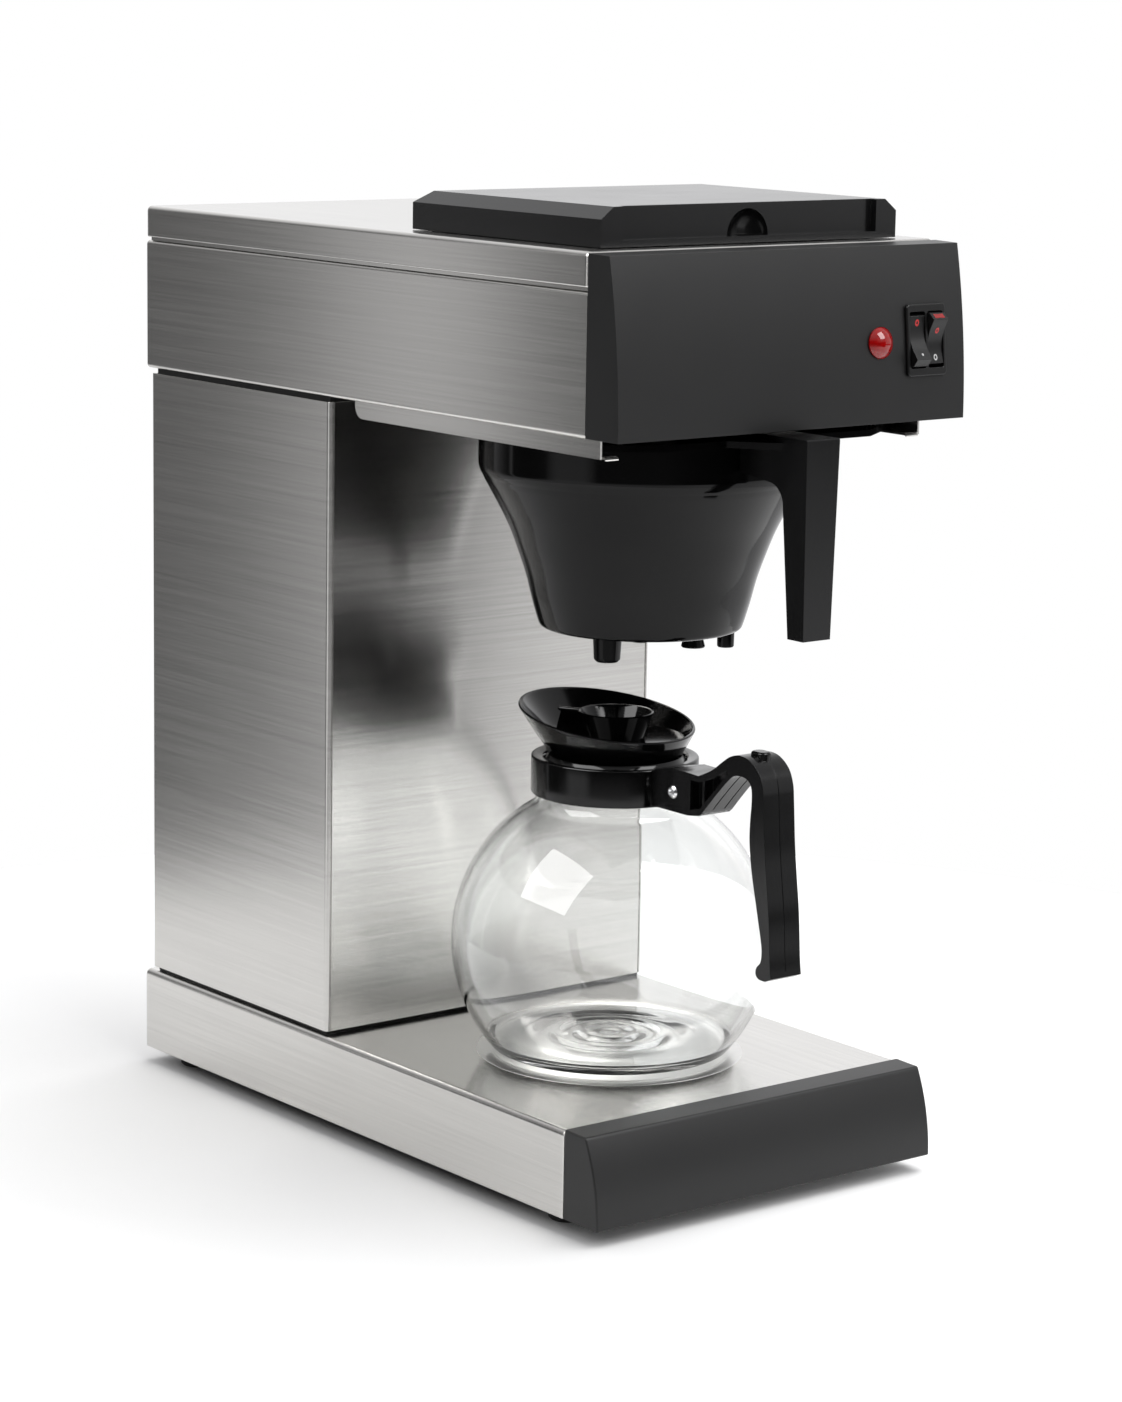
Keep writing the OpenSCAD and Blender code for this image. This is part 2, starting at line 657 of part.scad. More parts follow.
// Turn about the brewing axis
module rotate_about(a) {
    translate([0, brew_y, 0]) rotate([0, 0, a]) translate([0, -brew_y, 0]) children();
}

// ---- electrics -------------------------------------------------------------

loom_r = 2.6;

// Straight runs of the loom from point to point, each joint rounded by a ball
module loom(points) {
    for (i = [0:len(points) - 2]) {
        a = points[i];
        b = points[i + 1];
        d = b - a;
        l = norm(d);
        translate(a) rotate([0, acos(d[2] / l), atan2(d[1], d[0])]) cylinder(h = l, r = loom_r, $fn = 24);
        translate(b) sphere(r = loom_r, $fn = 24);
    }
}

module wiring_loom() placed() color([0.2, 0.2, 0.22]) {
    loom([[60, block_y - 1, 16], [60, 280, 16], [30, 280, 16], [30, hole_y, 16], [40, hole_y, 16],
        [40, hole_y, 130], [66, hole_y, 130], [66, hole_y, 378], [66, 205, 378],
        [97, 205, 378], [97, 8, 378], [82, 8, 378]]);
    loom([[24, 134, 20], [24, 262, 20], [36, 262, 20], [36, 276, 20]]);
}

frame_w = 24;
frame_h = 33;
cell_w = 9.5;
cell_h = 25.8;
cell_pitch = 10.9;
pivot_depth = 1.2;
rocker_r = 12.6;

// Twin switch body in its local frame: origin on the fascia's face, -y outward
module switch_frame() placed() color(gloss) on_fascia(switch_x, switch_z) difference() {
    union() {
        translate([0, -0.1, 0]) rotate([90, 0, 0]) linear_extrude(1.5) polygon(round_rect(frame_w,
            frame_h, 2));
        translate([-cutout[0] / 2 + 0.3, -0.2, -cutout[1] / 2 + 0.3]) cube([cutout[0] - 0.6, 19,
            cutout[1] - 0.6]);
    }
    for (s = [-1, 1]) {
        translate([s * cell_pitch / 2, 15, 0]) rotate([90, 0, 0]) linear_extrude(18)
            polygon(round_rect(cell_w, cell_h, 0.5));
        translate([s * cell_pitch / 2 - cell_w / 2 - 0.6, pivot_depth, 0]) rotate([0, 90, 0])
            cylinder(h = cell_w + 1.2, r = 1.25);
    }
}

module switch_terminals() placed() color(brass) on_fascia(switch_x, switch_z) {
    for (s = [-1, 1]) for (z = [-9, 0, 9])
        translate([s * cell_pitch / 2 - 2.4, 18.8, z - 0.4]) cube([4.8, 9, 0.8]);
}

// A rocker about its own pivot, at the middle of its throw: two hollowed half faces
// that meet in a shallow V, round ends and two stub pins
module rocker() {
    half = cell_w / 2 - 0.25;
    face = smooth([[-2.75, -13.2], [-2.35, -11.6], [-1.1, -6], [-0.1, 0], [-1.1, 6], [-2.35, 11.6],
        [-2.75, 13.2]]);
    difference() {
        rotate([0, 90, 0]) translate([0, 0, -half]) cylinder(h = 2 * half, r = rocker_r, $fn = 64);
        along_x(-half - 1, half + 1) polygon(concat(face, [[-20, 13.2], [-20, -13.2]]));
        translate([-half - 1, 5.5, -20]) cube([2 * half + 2, 20, 40]);
    }
    translate([-half - 0.6, 0, 0]) rotate([0, 90, 0]) cylinder(h = 2 * half + 1.2, r = 1.2);
}

module left_rocker() placed() color(gloss) on_fascia(switch_x, switch_z)
    translate([-cell_pitch / 2, pivot_depth, 0]) rotate([-rocker_throw / 2, 0, 0]) rocker();

module right_rocker() placed() color(gloss) on_fascia(switch_x, switch_z)
    translate([cell_pitch / 2, pivot_depth, 0]) rotate([rocker_throw / 2, 0, 0]) rocker();

module lamp_body() placed() color(gloss) on_fascia(lamp_x, lamp_z) {
    difference() {
        translate([0, 18, 0]) rotate([90, 0, 0]) cylinder(h = 18.4, r = 5.4);
        translate([0, 14, 0]) rotate([90, 0, 0]) cylinder(h = 18, r = 4.3);
    }
    for (s = [-1, 1]) translate([s * 2.5 - 0.4, 17.5, -1.5]) cube([0.8, 7, 3]);
}

module lamp_lens() placed() color([0.75, 0.03, 0.04]) on_fascia(lamp_x, lamp_z) rotate([90, 0, 0]) {
    dome = arc(0, -4.4, 8.7, 90, 34, 8);
    rotate_extrude() polygon(concat([[0, -6]], [[4.1, -6], [4.1, 0.45], [7.2, 0.45]], dome_side(dome)));
}

// The dome's outline from its edge up to the axis
function dome_side(p) = [for (i = [len(p) - 1:-1:0]) p[i]];

// ---- fill lid --------------------------------------------------------------

lid_low_z = top_z + 0.4;
lid_side_z = lid_top_z - 5.4;
lid_half = lid_w / 2;
lid_slope = 7;
lid_wall = 2.5;
hinge_y = lid_back_y + 3.4;
hinge_z = top_z + 3.3;
knuckle_r = 3;
hinge_x = 50;

module lid_cross(t) {
    polygon([[-lid_half + t, lid_low_z - t], [-lid_half + t, lid_side_z - 0.4 * t],
        [-lid_half + lid_slope + 0.6 * t, lid_top_z - t], [lid_half - lid_slope - 0.6 * t, lid_top_z - t],
        [lid_half - t, lid_side_z - 0.4 * t], [lid_half - t, lid_low_z - t]]);
}

module lid_length(t) {
    polygon([[lid_front_y + t, lid_low_z - t], [lid_front_y + t, lid_top_z - t],
        [lid_back_y - lid_slope - 0.6 * t, lid_top_z - t], [lid_back_y - t, lid_side_z - 0.4 * t],
        [lid_back_y - t, lid_low_z - t]]);
}

module lid_block(t) {
    intersection() {
        along_y(lid_front_y - 1, lid_back_y + 1) lid_cross(t);
        along_x(-lid_half, lid_half) lid_length(t);
    }
}

recess_half = 75;
recess_y = lid_front_y + 3.6;
sill_z = lid_low_z + 3;
notch_r = 12.3;

module fill_lid() placed() color(black) difference() {
    union() {
        difference() {
            lid_block(0);
            difference() {
                lid_block(lid_wall);
                box(-lid_half, lid_half, lid_front_y, recess_y + lid_wall, 0, lid_top_z);
                rod_y(0, sill_z, notch_r + 2.2, lid_front_y, lid_front_y + 14);
            }
        }
        difference() {
            box(-69, 69, 33, 132, 441, lid_top_z - 1);
            box(-67, 67, 35, 130, 440, lid_top_z);
        }
        for (s = [-1, 1]) {
            rod_x(hinge_y, hinge_z, knuckle_r, s * hinge_x - 10, s * hinge_x + 10);
            box(s * hinge_x - 10, s * hinge_x + 10, lid_back_y - 1, hinge_y, hinge_z - 2.4, hinge_z + 2.4);
        }
    }
    for (s = [-1, 1]) rod_x(hinge_y, hinge_z, 1.56, s * hinge_x - 11, s * hinge_x + 11);
    box(-recess_half, recess_half, lid_front_y - 1, recess_y, sill_z, lid_top_z + 1);
    intersection() {
        rod_y(0, sill_z, notch_r, lid_front_y - 1, lid_front_y + 11);
        box(-20, 20, lid_front_y - 2, lid_front_y + 12, sill_z, lid_top_z);
    }
}

module hinge_brackets() placed() color(steel) difference() {
    for (s = [-1, 1]) {
        for (t = [-1, 1]) {
            x = s * hinge_x + t * 14.3;
            rod_x(hinge_y, hinge_z, knuckle_r, x - 4, x + 4);
            box(x - 4, x + 4, hinge_y, hinge_y + 6, top_z, hinge_z + 1);
        }
        box(s * hinge_x - 18.3, s * hinge_x + 18.3, hinge_y + 3.4, hinge_y + 14, top_z, top_z + 1);
    }
    for (s = [-1, 1]) rod_x(hinge_y, hinge_z, 1.52, s * hinge_x - 20, s * hinge_x + 20);
}

module hinge_pins() placed() color([0.6, 0.6, 0.62]) {
    for (s = [-1, 1]) rod_x(hinge_y, hinge_z, 1.5, s * hinge_x - 19, s * hinge_x + 19);
}

// ---- brew basket -----------------------------------------------------------

flange_z = rail_low_z + 1.4;
flange_t = 3;
flange_half = 93.6;
cup_low_z = 260.7;
cup_t = 2.5;

// Outer outline of the cup in (r, z), from the foot up
cup_outer = concat([[0, cup_low_z], [44.5, cup_low_z]], arc(45.5, cup_low_z + 3, 3, -90, -10, 4),
    smooth([[49.1, 265], [51.7, 274], [54.7, 285.7], [58.6, 297.1], [63, 308.4], [68.8, 319.8], [75,
        331]], 3),
    [[77.7, 337], [77.7, flange_z + 1]]);
cup_inner = concat([[0, cup_low_z + cup_t], [43.5, cup_low_z + cup_t]],
    smooth([[46.3, 266], [49.1, 274.6], [52, 286.3], [55.9, 298], [60.3, 309.4], [66.1, 320.9], [72.5,
        332.4]], 3),
    [[75.2, 338], [75.2, flange_z + flange_t + 1], [0, flange_z + flange_t + 1]]);

module wall_rib(a) {
    rotate([0, 0, a]) translate([0, 0.8, 0]) rotate([90, 0, 0]) linear_extrude(1.6)
        polygon([[10, cup_low_z + 1.2], [10, cup_low_z + 5], [41, cup_low_z + 5], [46.5, 274],
            [49.4, 286.3], [53.3, 298], [57.7, 309.4], [62.5, 320], [66.5, 326], [70, 326],
            [67.3, 320.9], [61.5, 309.4], [57.1, 298], [53.2, 286.3], [50.3, 274.6],
            [46.5, cup_low_z + 4], [45, cup_low_z + 1.2]]);
}

module brew_basket() placed() color(gloss) translate([0, basket_y, 0]) difference() {
    union() {
        rotate_extrude($fn = 96) polygon(concat(cup_outer, [[0, flange_z + 1]]));
        translate([0, 0, flange_z]) linear_extrude(flange_t) polygon([[-61.4, -89.2], [61.4, -89.2],
            [flange_half, -68], [flange_half, 52], [66, 80], [-66, 80], [-flange_half, 52],
            [-flange_half, -68]]);
        for (p = [[-36.6, -20.8], [33, -26], [0, 41.5]]) translate([p[0], p[1], cup_low_z - 10.5])
            cylinder(h = 12, r1 = 4.6, r2 = 5.8);
        translate([21, -7, cup_low_z - 7]) cylinder(h = 9, r1 = 5.6, r2 = 4.4);
        translate([0, 0, cup_low_z - 7.5]) cylinder(h = 9, r = 4.5);
    }
    difference() {
        rotate_extrude($fn = 96) polygon(cup_inner);
        for (a = [22.5:45:337.5]) wall_rib(a);
    }
    translate([0, 0, cup_low_z - 9]) cylinder(h = 14, r = 2.6);
    for (x = [-6, 6]) translate([x, -80, 350]) rotate([90, 0, 0]) cylinder(h = 12, r = 1.6, center = true);
}

handle_half = 9.8;
arm_low_z = 343;

// Grip that hangs in front of the basket, with its arm and the fillet under the arm
module basket_handle() placed() color(gloss) translate([0, basket_y, 0]) difference() {
    union() {
        intersection() {
            along_x(-handle_half, handle_half) polygon(concat(
                [[-124.8, 362.3], [-125.2, 361.5], [-124.2, 271.5], [-113.6, 271.5], [-109.4, 330]],
                arc(-99.4, 331.2, 10, 180, 90, 6), [[-86, arm_low_z], [-86, 362.3]]));
            along_y(-130, -80) polygon([[-8.1, 271], [8.1, 271], [handle_half, 363], [-handle_half, 363]]);
        }
        translate([0, 0, flange_z]) linear_extrude(flange_t) polygon([[-9, -110], [9, -110], [26, -89.35],
            [-26, -89.35]]);
        box(-9, 9, -90, -79.3, arm_low_z, flange_z - 0.2);
    }
    rotate_extrude($fn = 96) polygon([[0, 300], [77.8, 300], [77.8, 365], [0, 365]]);
    box(-40, 40, -89.3, 0, flange_z - 0.1, 370);
    for (x = [-6, 6]) translate([x, -82, 350]) rotate([90, 0, 0]) cylinder(h = 12, r = 1.5, center = true);
}

module basket_screws() placed() color(steel) translate([0, basket_y, 0]) {
    for (x = [-6, 6]) {
        translate([x, -74, 350]) rotate([90, 0, 0]) cylinder(h = 13, r = 1.45);
        translate([x, -72.5, 350]) rotate([90, 0, 0]) cylinder(h = 2, r = 2.8);
    }
}

// ---- jug -------------------------------------------------------------------

glass_z = plate_top_z + 0.3;
globe_z = glass_z + 52.5;
neck_r = 37;
neck_top_z = 194;
shoulder_r = 8;
foot_fillet = 4.5;
foot_fillet_in = 7;
glass_floor = 4.5;
shoulder_x = neck_r + shoulder_r;
shoulder_z = globe_z + sqrt(pow(globe_r + shoulder_r, 2) - pow(shoulder_x, 2));
shoulder_a = atan2(shoulder_z - globe_z, shoulder_x);

// Outline of the glass in (r, z), from the middle of the floor at z0 up to the rim:
// globe radius r, foot fillet f and neck fillet s round one shared centre
function glass_side(z0, r, f, s) =
    let (fz = z0 + f, fx = sqrt(pow(r - f, 2) - pow(globe_z - fz, 2)), fa = atan2(fz - globe_z, fx))
    concat(arc(fx, fz, f, -90, fa, 6), arc(0, globe_z, r, fa + 2, shoulder_a - 2, 24),
        arc(shoulder_x, shoulder_z, s, 180 + shoulder_a, 180, 6));

module jug_glass() placed() color([0.85, 0.92, 0.92, 0.35]) translate([0, brew_y, 0]) difference() {
    rotate_extrude($fn = 96) polygon(concat([[0, glass_z]], glass_side(glass_z, globe_r, foot_fillet,
        shoulder_r),
        [[neck_r, neck_top_z], [0, neck_top_z]]));
    rotate_extrude($fn = 96) polygon(concat([[0, glass_z + glass_floor + 1.5]],
        glass_side(glass_z + glass_floor, globe_r - glass_t, foot_fillet_in, shoulder_r + glass_t),
        [[neck_r - glass_t, neck_top_z + 1], [0, neck_top_z + 1]]));
}

collar_r = 40.3;
collar_low_z = 177.7;
collar_top_z = 196;
lug_half = 3;
jug_screw = [45.7 - brew_y, 188.2];

module jug_collar() placed() color(gloss) translate([0, brew_y, 0]) difference() {
    union() {
        difference() {
            rotate_extrude($fn = 96) polygon([[neck_r + 0.15, collar_low_z], [collar_r - 0.8, collar_low_z],
                [collar_r, collar_low_z + 1], [collar_r, collar_top_z - 1.2], [collar_r - 1.2,
                    collar_top_z],
                [35.4, collar_top_z - 0.6], [34.8, collar_top_z - 1.7], [neck_r + 0.15,
                    collar_top_z - 1.7]]);
            box(-0.5, 0.5, -50, 0, 170, 200);
        }
        for (s = [-1, 1]) box(s * 1.75 - 1.25, s * 1.75 + 1.25, -61, -39, 181, 194.5);
    }
    rod_x(jug_screw[0], jug_screw[1], 2.1, -6, 6);
}

jug_grip_half = 9.3;
grip_outer = smooth([[27.5, 198.9], [18.1, 203.2], [10.7, 208.4], [5, 211.9], [-1.3, 213.4], [-8.3, 212.2],
    [-14.6, 207.7], [-17.8, 201], [-18.8, 192.4], [-20.3, 172.8], [-22.3, 156.9], [-24.3, 141.4],
    [-25.8, 121.5], [-26.8, 113.2]], 3);
grip_inner = smooth([[-20, 112], [-19.6, 117], [-19.6, 127], [-15.9, 143.4], [-11.7, 160.4], [-9.7, 174],
    [-9.7, 184], [-10.4, 193], [-9.8, 200], [-6, 203.4], [1.1, 203.5], [6, 200.5], [15.5, 191.1],
    [24.4, 181.5]], 3);

module jug_handle() placed() color(gloss) difference() {
    union() {
        along_x(-jug_grip_half, jug_grip_half) polygon(concat([[62, 196], [45, 199.4], [34.4, 199.2]],
            grip_outer, grip_inner, [[26, 180.2], [34, 178.9], [62, 178.9]]));
        box(-3.5, 3.5, -11.5, -1, 211, 216.4);
    }
    rod_z(0, brew_y, collar_r + 0.05, 170, 210);
    box(-lug_half - 0.1, lug_half + 0.1, 38.5, 70, 180.8, 194.8);
    rod_x(jug_screw[0] + brew_y, jug_screw[1], 2.1, -12, 12);
    for (s = [-1, 1]) along_x(s > 0 ? jug_grip_half - 2.6 : -jug_grip_half - 1,
        s > 0 ? jug_grip_half + 1 : -jug_grip_half + 2.6)
        polygon([[33, 182], [33, 196.5], [27, 196], [17, 200], [10, 204], [9, 202], [18, 191.5], [26,
            183.4]]);
}

module jug_handle_screw() placed() color(steel) {
    rod_x(jug_screw[0] + brew_y, jug_screw[1], 2, -jug_grip_half - 0.2, jug_grip_half - 1);
    translate([-jug_grip_half, jug_screw[0] + brew_y, jug_screw[1]]) rotate([0, -90, 0])
        cylinder(h = 1, r1 = 3.3, r2 = 2.4);
}

bowl_tilt = 9.4;
bowl_r = 42.1;
bowl_shift = 7;
bowl_z = 213.5;
ledge_z = 203;
ring_out_r = 34;
ring_low_z = 184;
lid_turn = 15;
rib_a = 112;

// Tilted, offset bowl between the ledge and its rim, inset by t
module bowl(t) {
    hull() {
        translate([0, 0, ledge_z - (t > 0 ? -2 : 0)]) cylinder(h = 0.5, r = 35.6 - t, $fn = 64);
        translate([0, bowl_shift, bowl_z]) rotate([bowl_tilt, 0, 0]) translate([0, 0, -0.5 + 2 * t])
            cylinder(h = 0.5 + t, r = bowl_r - t + 0.8 * t, $fn = 64);
    }
}

module jug_lid() placed() color(gloss) translate([0, brew_y, 0]) rotate([0, 0, lid_turn]) {
    difference() {
        union() {
            difference() {
                bowl(0);
                bowl(1.8);
            }
            translate([0, 0, ring_low_z]) cylinder(h = ledge_z + 0.6 - ring_low_z, r = ring_out_r);
        }
        translate([0, 0, ring_low_z - 1]) cylinder(h = 17, r = ring_out_r - 2);
        translate([0, 0, ring_low_z - 1]) cylinder(h = 30, r = 9.6);
        for (a = [30:30:90]) rotate([0, 0, a]) translate([23, 0, ring_low_z]) cylinder(h = 26, r = 5);
    }
    difference() {
        translate([0, 0, 199]) cylinder(h = 18.2, r1 = 11.5, r2 = 18.4);
        translate([0, 0, 198]) cylinder(h = 20, r1 = 9.2, r2 = 17);
    }
    rotate([0, 0, rib_a]) translate([14, -0.8, 202]) cube([13, 1.6, 14]);
}

base_shell();
base_bottom_plate();
base_front_trim();
feet();
foot_screws();
hot_plate();
plate_seal();
plate_heater();
plate_clamp();
clamp_nut();
plate_thermostat();
terminal_block();
cord_gland();
gland_nut();
earth_screw();
column_frame();
column_shell();
rear_cover();
rear_cover_screws();
upper_housing();
top_cover();
front_fascia();
fascia_screws();
left_rail();
right_rail();
rail_screws();
water_tank();
outlet_strainer();
cold_hose();
check_valve();
hose_clamps();
flow_heater();
heating_rod();
heater_bracket();
heater_screws();
heater_thermostat();
thermal_fuse();
riser_hose();
spray_head();
wiring_loom();
switch_frame();
switch_terminals();
lamp_body();
lamp_lens();
hinge_brackets();
hinge_pins();
fill_lid();
left_rocker();
right_rocker();
brew_basket();
basket_handle();
basket_screws();
jug_glass();
jug_collar();
jug_handle();
jug_handle_screw();
jug_lid();
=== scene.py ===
import math

import bmesh
import bpy
from mathutils import Matrix, Vector


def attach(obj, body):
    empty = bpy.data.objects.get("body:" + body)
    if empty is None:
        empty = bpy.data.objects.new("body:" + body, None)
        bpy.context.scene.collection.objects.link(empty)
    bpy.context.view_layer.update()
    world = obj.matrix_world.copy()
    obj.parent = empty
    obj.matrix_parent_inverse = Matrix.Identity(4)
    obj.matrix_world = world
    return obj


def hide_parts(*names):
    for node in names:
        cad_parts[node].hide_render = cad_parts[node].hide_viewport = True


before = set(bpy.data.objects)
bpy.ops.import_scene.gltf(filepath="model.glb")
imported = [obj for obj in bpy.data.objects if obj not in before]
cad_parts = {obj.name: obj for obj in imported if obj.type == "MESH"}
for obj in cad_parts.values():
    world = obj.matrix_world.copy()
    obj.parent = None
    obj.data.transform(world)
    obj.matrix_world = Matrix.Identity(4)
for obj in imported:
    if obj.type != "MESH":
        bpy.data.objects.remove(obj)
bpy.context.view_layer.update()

MM = 0.001
MID_Y = 163.55          # drawing y of the frame's origin, mm
TO_FRAME = Matrix.Diagonal((MM, MM, MM, 1)) @ Matrix.Translation((0, -MID_Y, 0))


# ---- outlines, in drawing millimetres ---------------------------------------

def arc(cx, cy, r, a0, a1, n=8):
    out = []
    for i in range(n + 1):
        a = math.radians(a0 + (a1 - a0) * i / n)
        out.append((cx + r * math.cos(a), cy + r * math.sin(a)))
    return out


def circle(cx, cy, r, n):
    return [(cx + r * math.cos(math.tau * i / n), cy + r * math.sin(math.tau * i / n)) for i in range(n)]


def round_rect(w, h, r, n=6):
    return (arc(w / 2 - r, h / 2 - r, r, 0, 90, n) + arc(-w / 2 + r, h / 2 - r, r, 90, 180, n)
            + arc(-w / 2 + r, -h / 2 + r, r, 180, 270, n) + arc(w / 2 - r, -h / 2 + r, r, 270, 360, n))


def smooth(p, n=6):
    """Catmull-Rom curve through the points, n steps on each stretch."""
    out = []
    for i in range(len(p) - 1):
        a, b, c, d = p[max(i - 1, 0)], p[i], p[i + 1], p[min(i + 2, len(p) - 1)]
        for k in range(n):
            t = k / n
            out.append(tuple(0.5 * (2 * b[j] + (c[j] - a[j]) * t
                                    + (2 * a[j] - 5 * b[j] + 4 * c[j] - d[j]) * t * t
                                    + (3 * b[j] - a[j] - 3 * c[j] + d[j]) * t ** 3) for j in (0, 1)))
    out.append(tuple(p[-1]))
    return out


def offset_path(p, t):
    """Open path moved t to its left."""
    out = []
    for i, q in enumerate(p):
        a, b = p[max(i - 1, 0)], p[min(i + 1, len(p) - 1)]
        dx, dy = b[0] - a[0], b[1] - a[1]
        s = math.hypot(dx, dy)
        out.append((q[0] - dy / s * t, q[1] + dx / s * t))
    return out


def bulge(trim, t=0, n=24):
    """Curved front face of a moulded trim, points (y, z) from the foot up, t inside it."""
    y_top, z_top, y_low, z_low = trim
    h, d = z_top - z_low, y_top - y_low
    r = (h * h + d * d) / (2 * d)
    a0, a1 = math.asin(t / (r - t)), math.asin((h - t) / (r - t))
    return [(y_low + r - (r - t) * math.cos(a0 + (a1 - a0) * i / n),
             z_low + (r - t) * math.sin(a0 + (a1 - a0) * i / n)) for i in range(n + 1)]


# ---- meshes -------------------------------------------------------------------

AXES = {"x": lambda u, v, w: (w, u, v), "y": lambda u, v, w: (u, w, v), "z": lambda u, v, w: (u, v, w)}


def prism(axis, pts, a, b, bm=None):
    """Outline extruded along an axis from a to b: outline in (y, z), (x, z) or (x, y)."""
    bm = bm or bmesh.new()
    put = AXES[axis]
    low = [bm.verts.new(put(u, v, a)) for u, v in pts]
    high = [bm.verts.new(put(u, v, b)) for u, v in pts]
    n = len(pts)
    faces = [bm.faces.new(low), bm.faces.new(high)]
    faces += [bm.faces.new((low[i], low[(i + 1) % n], high[(i + 1) % n], high[i])) for i in range(n)]
    bmesh.ops.recalc_face_normals(bm, faces=faces)
    return bm


def box(x0, x1, y0, y1, z0, z1, bm=None):
    return prism("z", [(x0, y0), (x1, y0), (x1, y1), (x0, y1)], z0, z1, bm)


def lathe(pts, x=0, y=0, n=128, bm=None):
    """Closed (r, z) outline turned about an upright axis; points with r = 0 become poles."""
    bm = bm or bmesh.new()
    rings = []
    for r, z in pts:
        if r < 1e-6:
            rings.append([bm.verts.new((x, y, z))])
        else:
            rings.append([bm.verts.new((u, v, z)) for u, v in circle(x, y, r, n)])
    return skin(bm, rings)


def skin(bm, rings):
    """Faces between each ring and the next, round to the first unless both ends are poles."""
    faces = []
    closed = not (len(rings[0]) == 1 and len(rings[-1]) == 1)
    for a, b in zip(rings, rings[1:] + rings[:1]):
        if (b is rings[0] and not closed) or (len(a) == 1 and len(b) == 1):
            continue
        n = max(len(a), len(b))
        for i in range(n):
            j = (i + 1) % n
            if len(a) == 1:
                faces.append(bm.faces.new((a[0], b[i], b[j])))
            elif len(b) == 1:
                faces.append(bm.faces.new((a[i], a[j], b[0])))
            else:
                faces.append(bm.faces.new((a[i], a[j], b[j], b[i])))
    bmesh.ops.recalc_face_normals(bm, faces=faces)
    return bm


def rod(axis, c, r, a, b, n=48, bm=None):
    return prism(axis, circle(*c, r, n), a, b, bm)


def skin_rod(a, b, r, n=20):
    """Round-ended rod between two points (x, z) in the plane y = 0."""
    bm = bmesh.new()
    rings = []
    for (end_x, end_z), angles in ((a, (-90, -60, -30, 0)), (b, (0, 30, 60, 90))):
        for t in angles:
            x, size = end_x + r * math.sin(math.radians(t)), r * math.cos(math.radians(t))
            ring = [(0, end_z)] if abs(t) == 90 else circle(0, end_z, size, n)
            rings.append([bm.verts.new((x, y, z)) for y, z in ring])
    return skin(bm, rings)


def turned(bm, matrix):
    bm.transform(matrix)
    return bm


def to_object(bm, name):
    mesh = bpy.data.meshes.new(name)
    bm.to_mesh(mesh)
    bm.free()
    obj = bpy.data.objects.new(name, mesh)
    bpy.context.scene.collection.objects.link(obj)
    return obj


def combine(bm, op, *others):
    """Boolean of bm with each of the others, which are used up."""
    obj = to_object(bm, "work")
    used = []
    for other in others:
        tool = to_object(other, "tool")
        mod = obj.modifiers.new("cut", "BOOLEAN")
        mod.operation, mod.solver, mod.object = op, "EXACT", tool
        used.append(tool)
    dg = bpy.context.evaluated_depsgraph_get()
    out = bmesh.new()
    out.from_mesh(obj.evaluated_get(dg).to_mesh())
    for o in [obj] + used:
        mesh = o.data
        bpy.data.objects.remove(o)
        bpy.data.meshes.remove(mesh)
    bmesh.ops.remove_doubles(out, verts=out.verts, dist=1e-4)
    bmesh.ops.dissolve_degenerate(out, dist=1e-4, edges=out.edges)
    return out


def cut(bm, *others):
    return combine(bm, "DIFFERENCE", *others)


def join(bm, *others):
    return combine(bm, "UNION", *others)


def piece(bm, name, material, body="root", stands_for=(), bevel=0.0, segments=3, angle=30,
          grain=None, matrix=None):
    """Turns a drawing-millimetre mesh into a piece that rides on its body."""
    if matrix is not None:
        bm.transform(matrix)
    bm.transform(TO_FRAME)
    for f in bm.faces:
        f.smooth = True
    if grain is not None:
        brush_uv(bm, grain)
    obj = to_object(bm, name)
    obj.data.materials.append(material)
    if bevel:
        mod = obj.modifiers.new("edges", "BEVEL")
        mod.width, mod.segments, mod.limit_method = bevel * MM, segments, "ANGLE"
        mod.angle_limit = math.radians(angle)
        mod.harden_normals = False
        mod.use_clamp_overlap = True
        shade = obj.modifiers.new("shade", "WEIGHTED_NORMAL")
        shade.keep_sharp, shade.weight = True, 50
    else:
        obj.data.set_sharp_from_angle(angle=math.radians(angle))
    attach(obj, body)
    if stands_for:
        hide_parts(*stands_for)
    return obj


def brush_uv(bm, grain):
    """A map whose u runs across the brushing, so that glints stretch that way."""
    uv = bm.loops.layers.uv.new("brush")
    for f in bm.faces:
        across = f.normal.cross(grain)
        across = Vector((0, 0, 1)) if across.length < 0.3 else across.normalized()
        along = f.normal.cross(across)
        for loop in f.loops:
            loop[uv].uv = (loop.vert.co.dot(across), loop.vert.co.dot(along))


# ---- materials ----------------------------------------------------------------

def scaled(tint, k):
    return tuple(min(1, c * k) for c in tint)


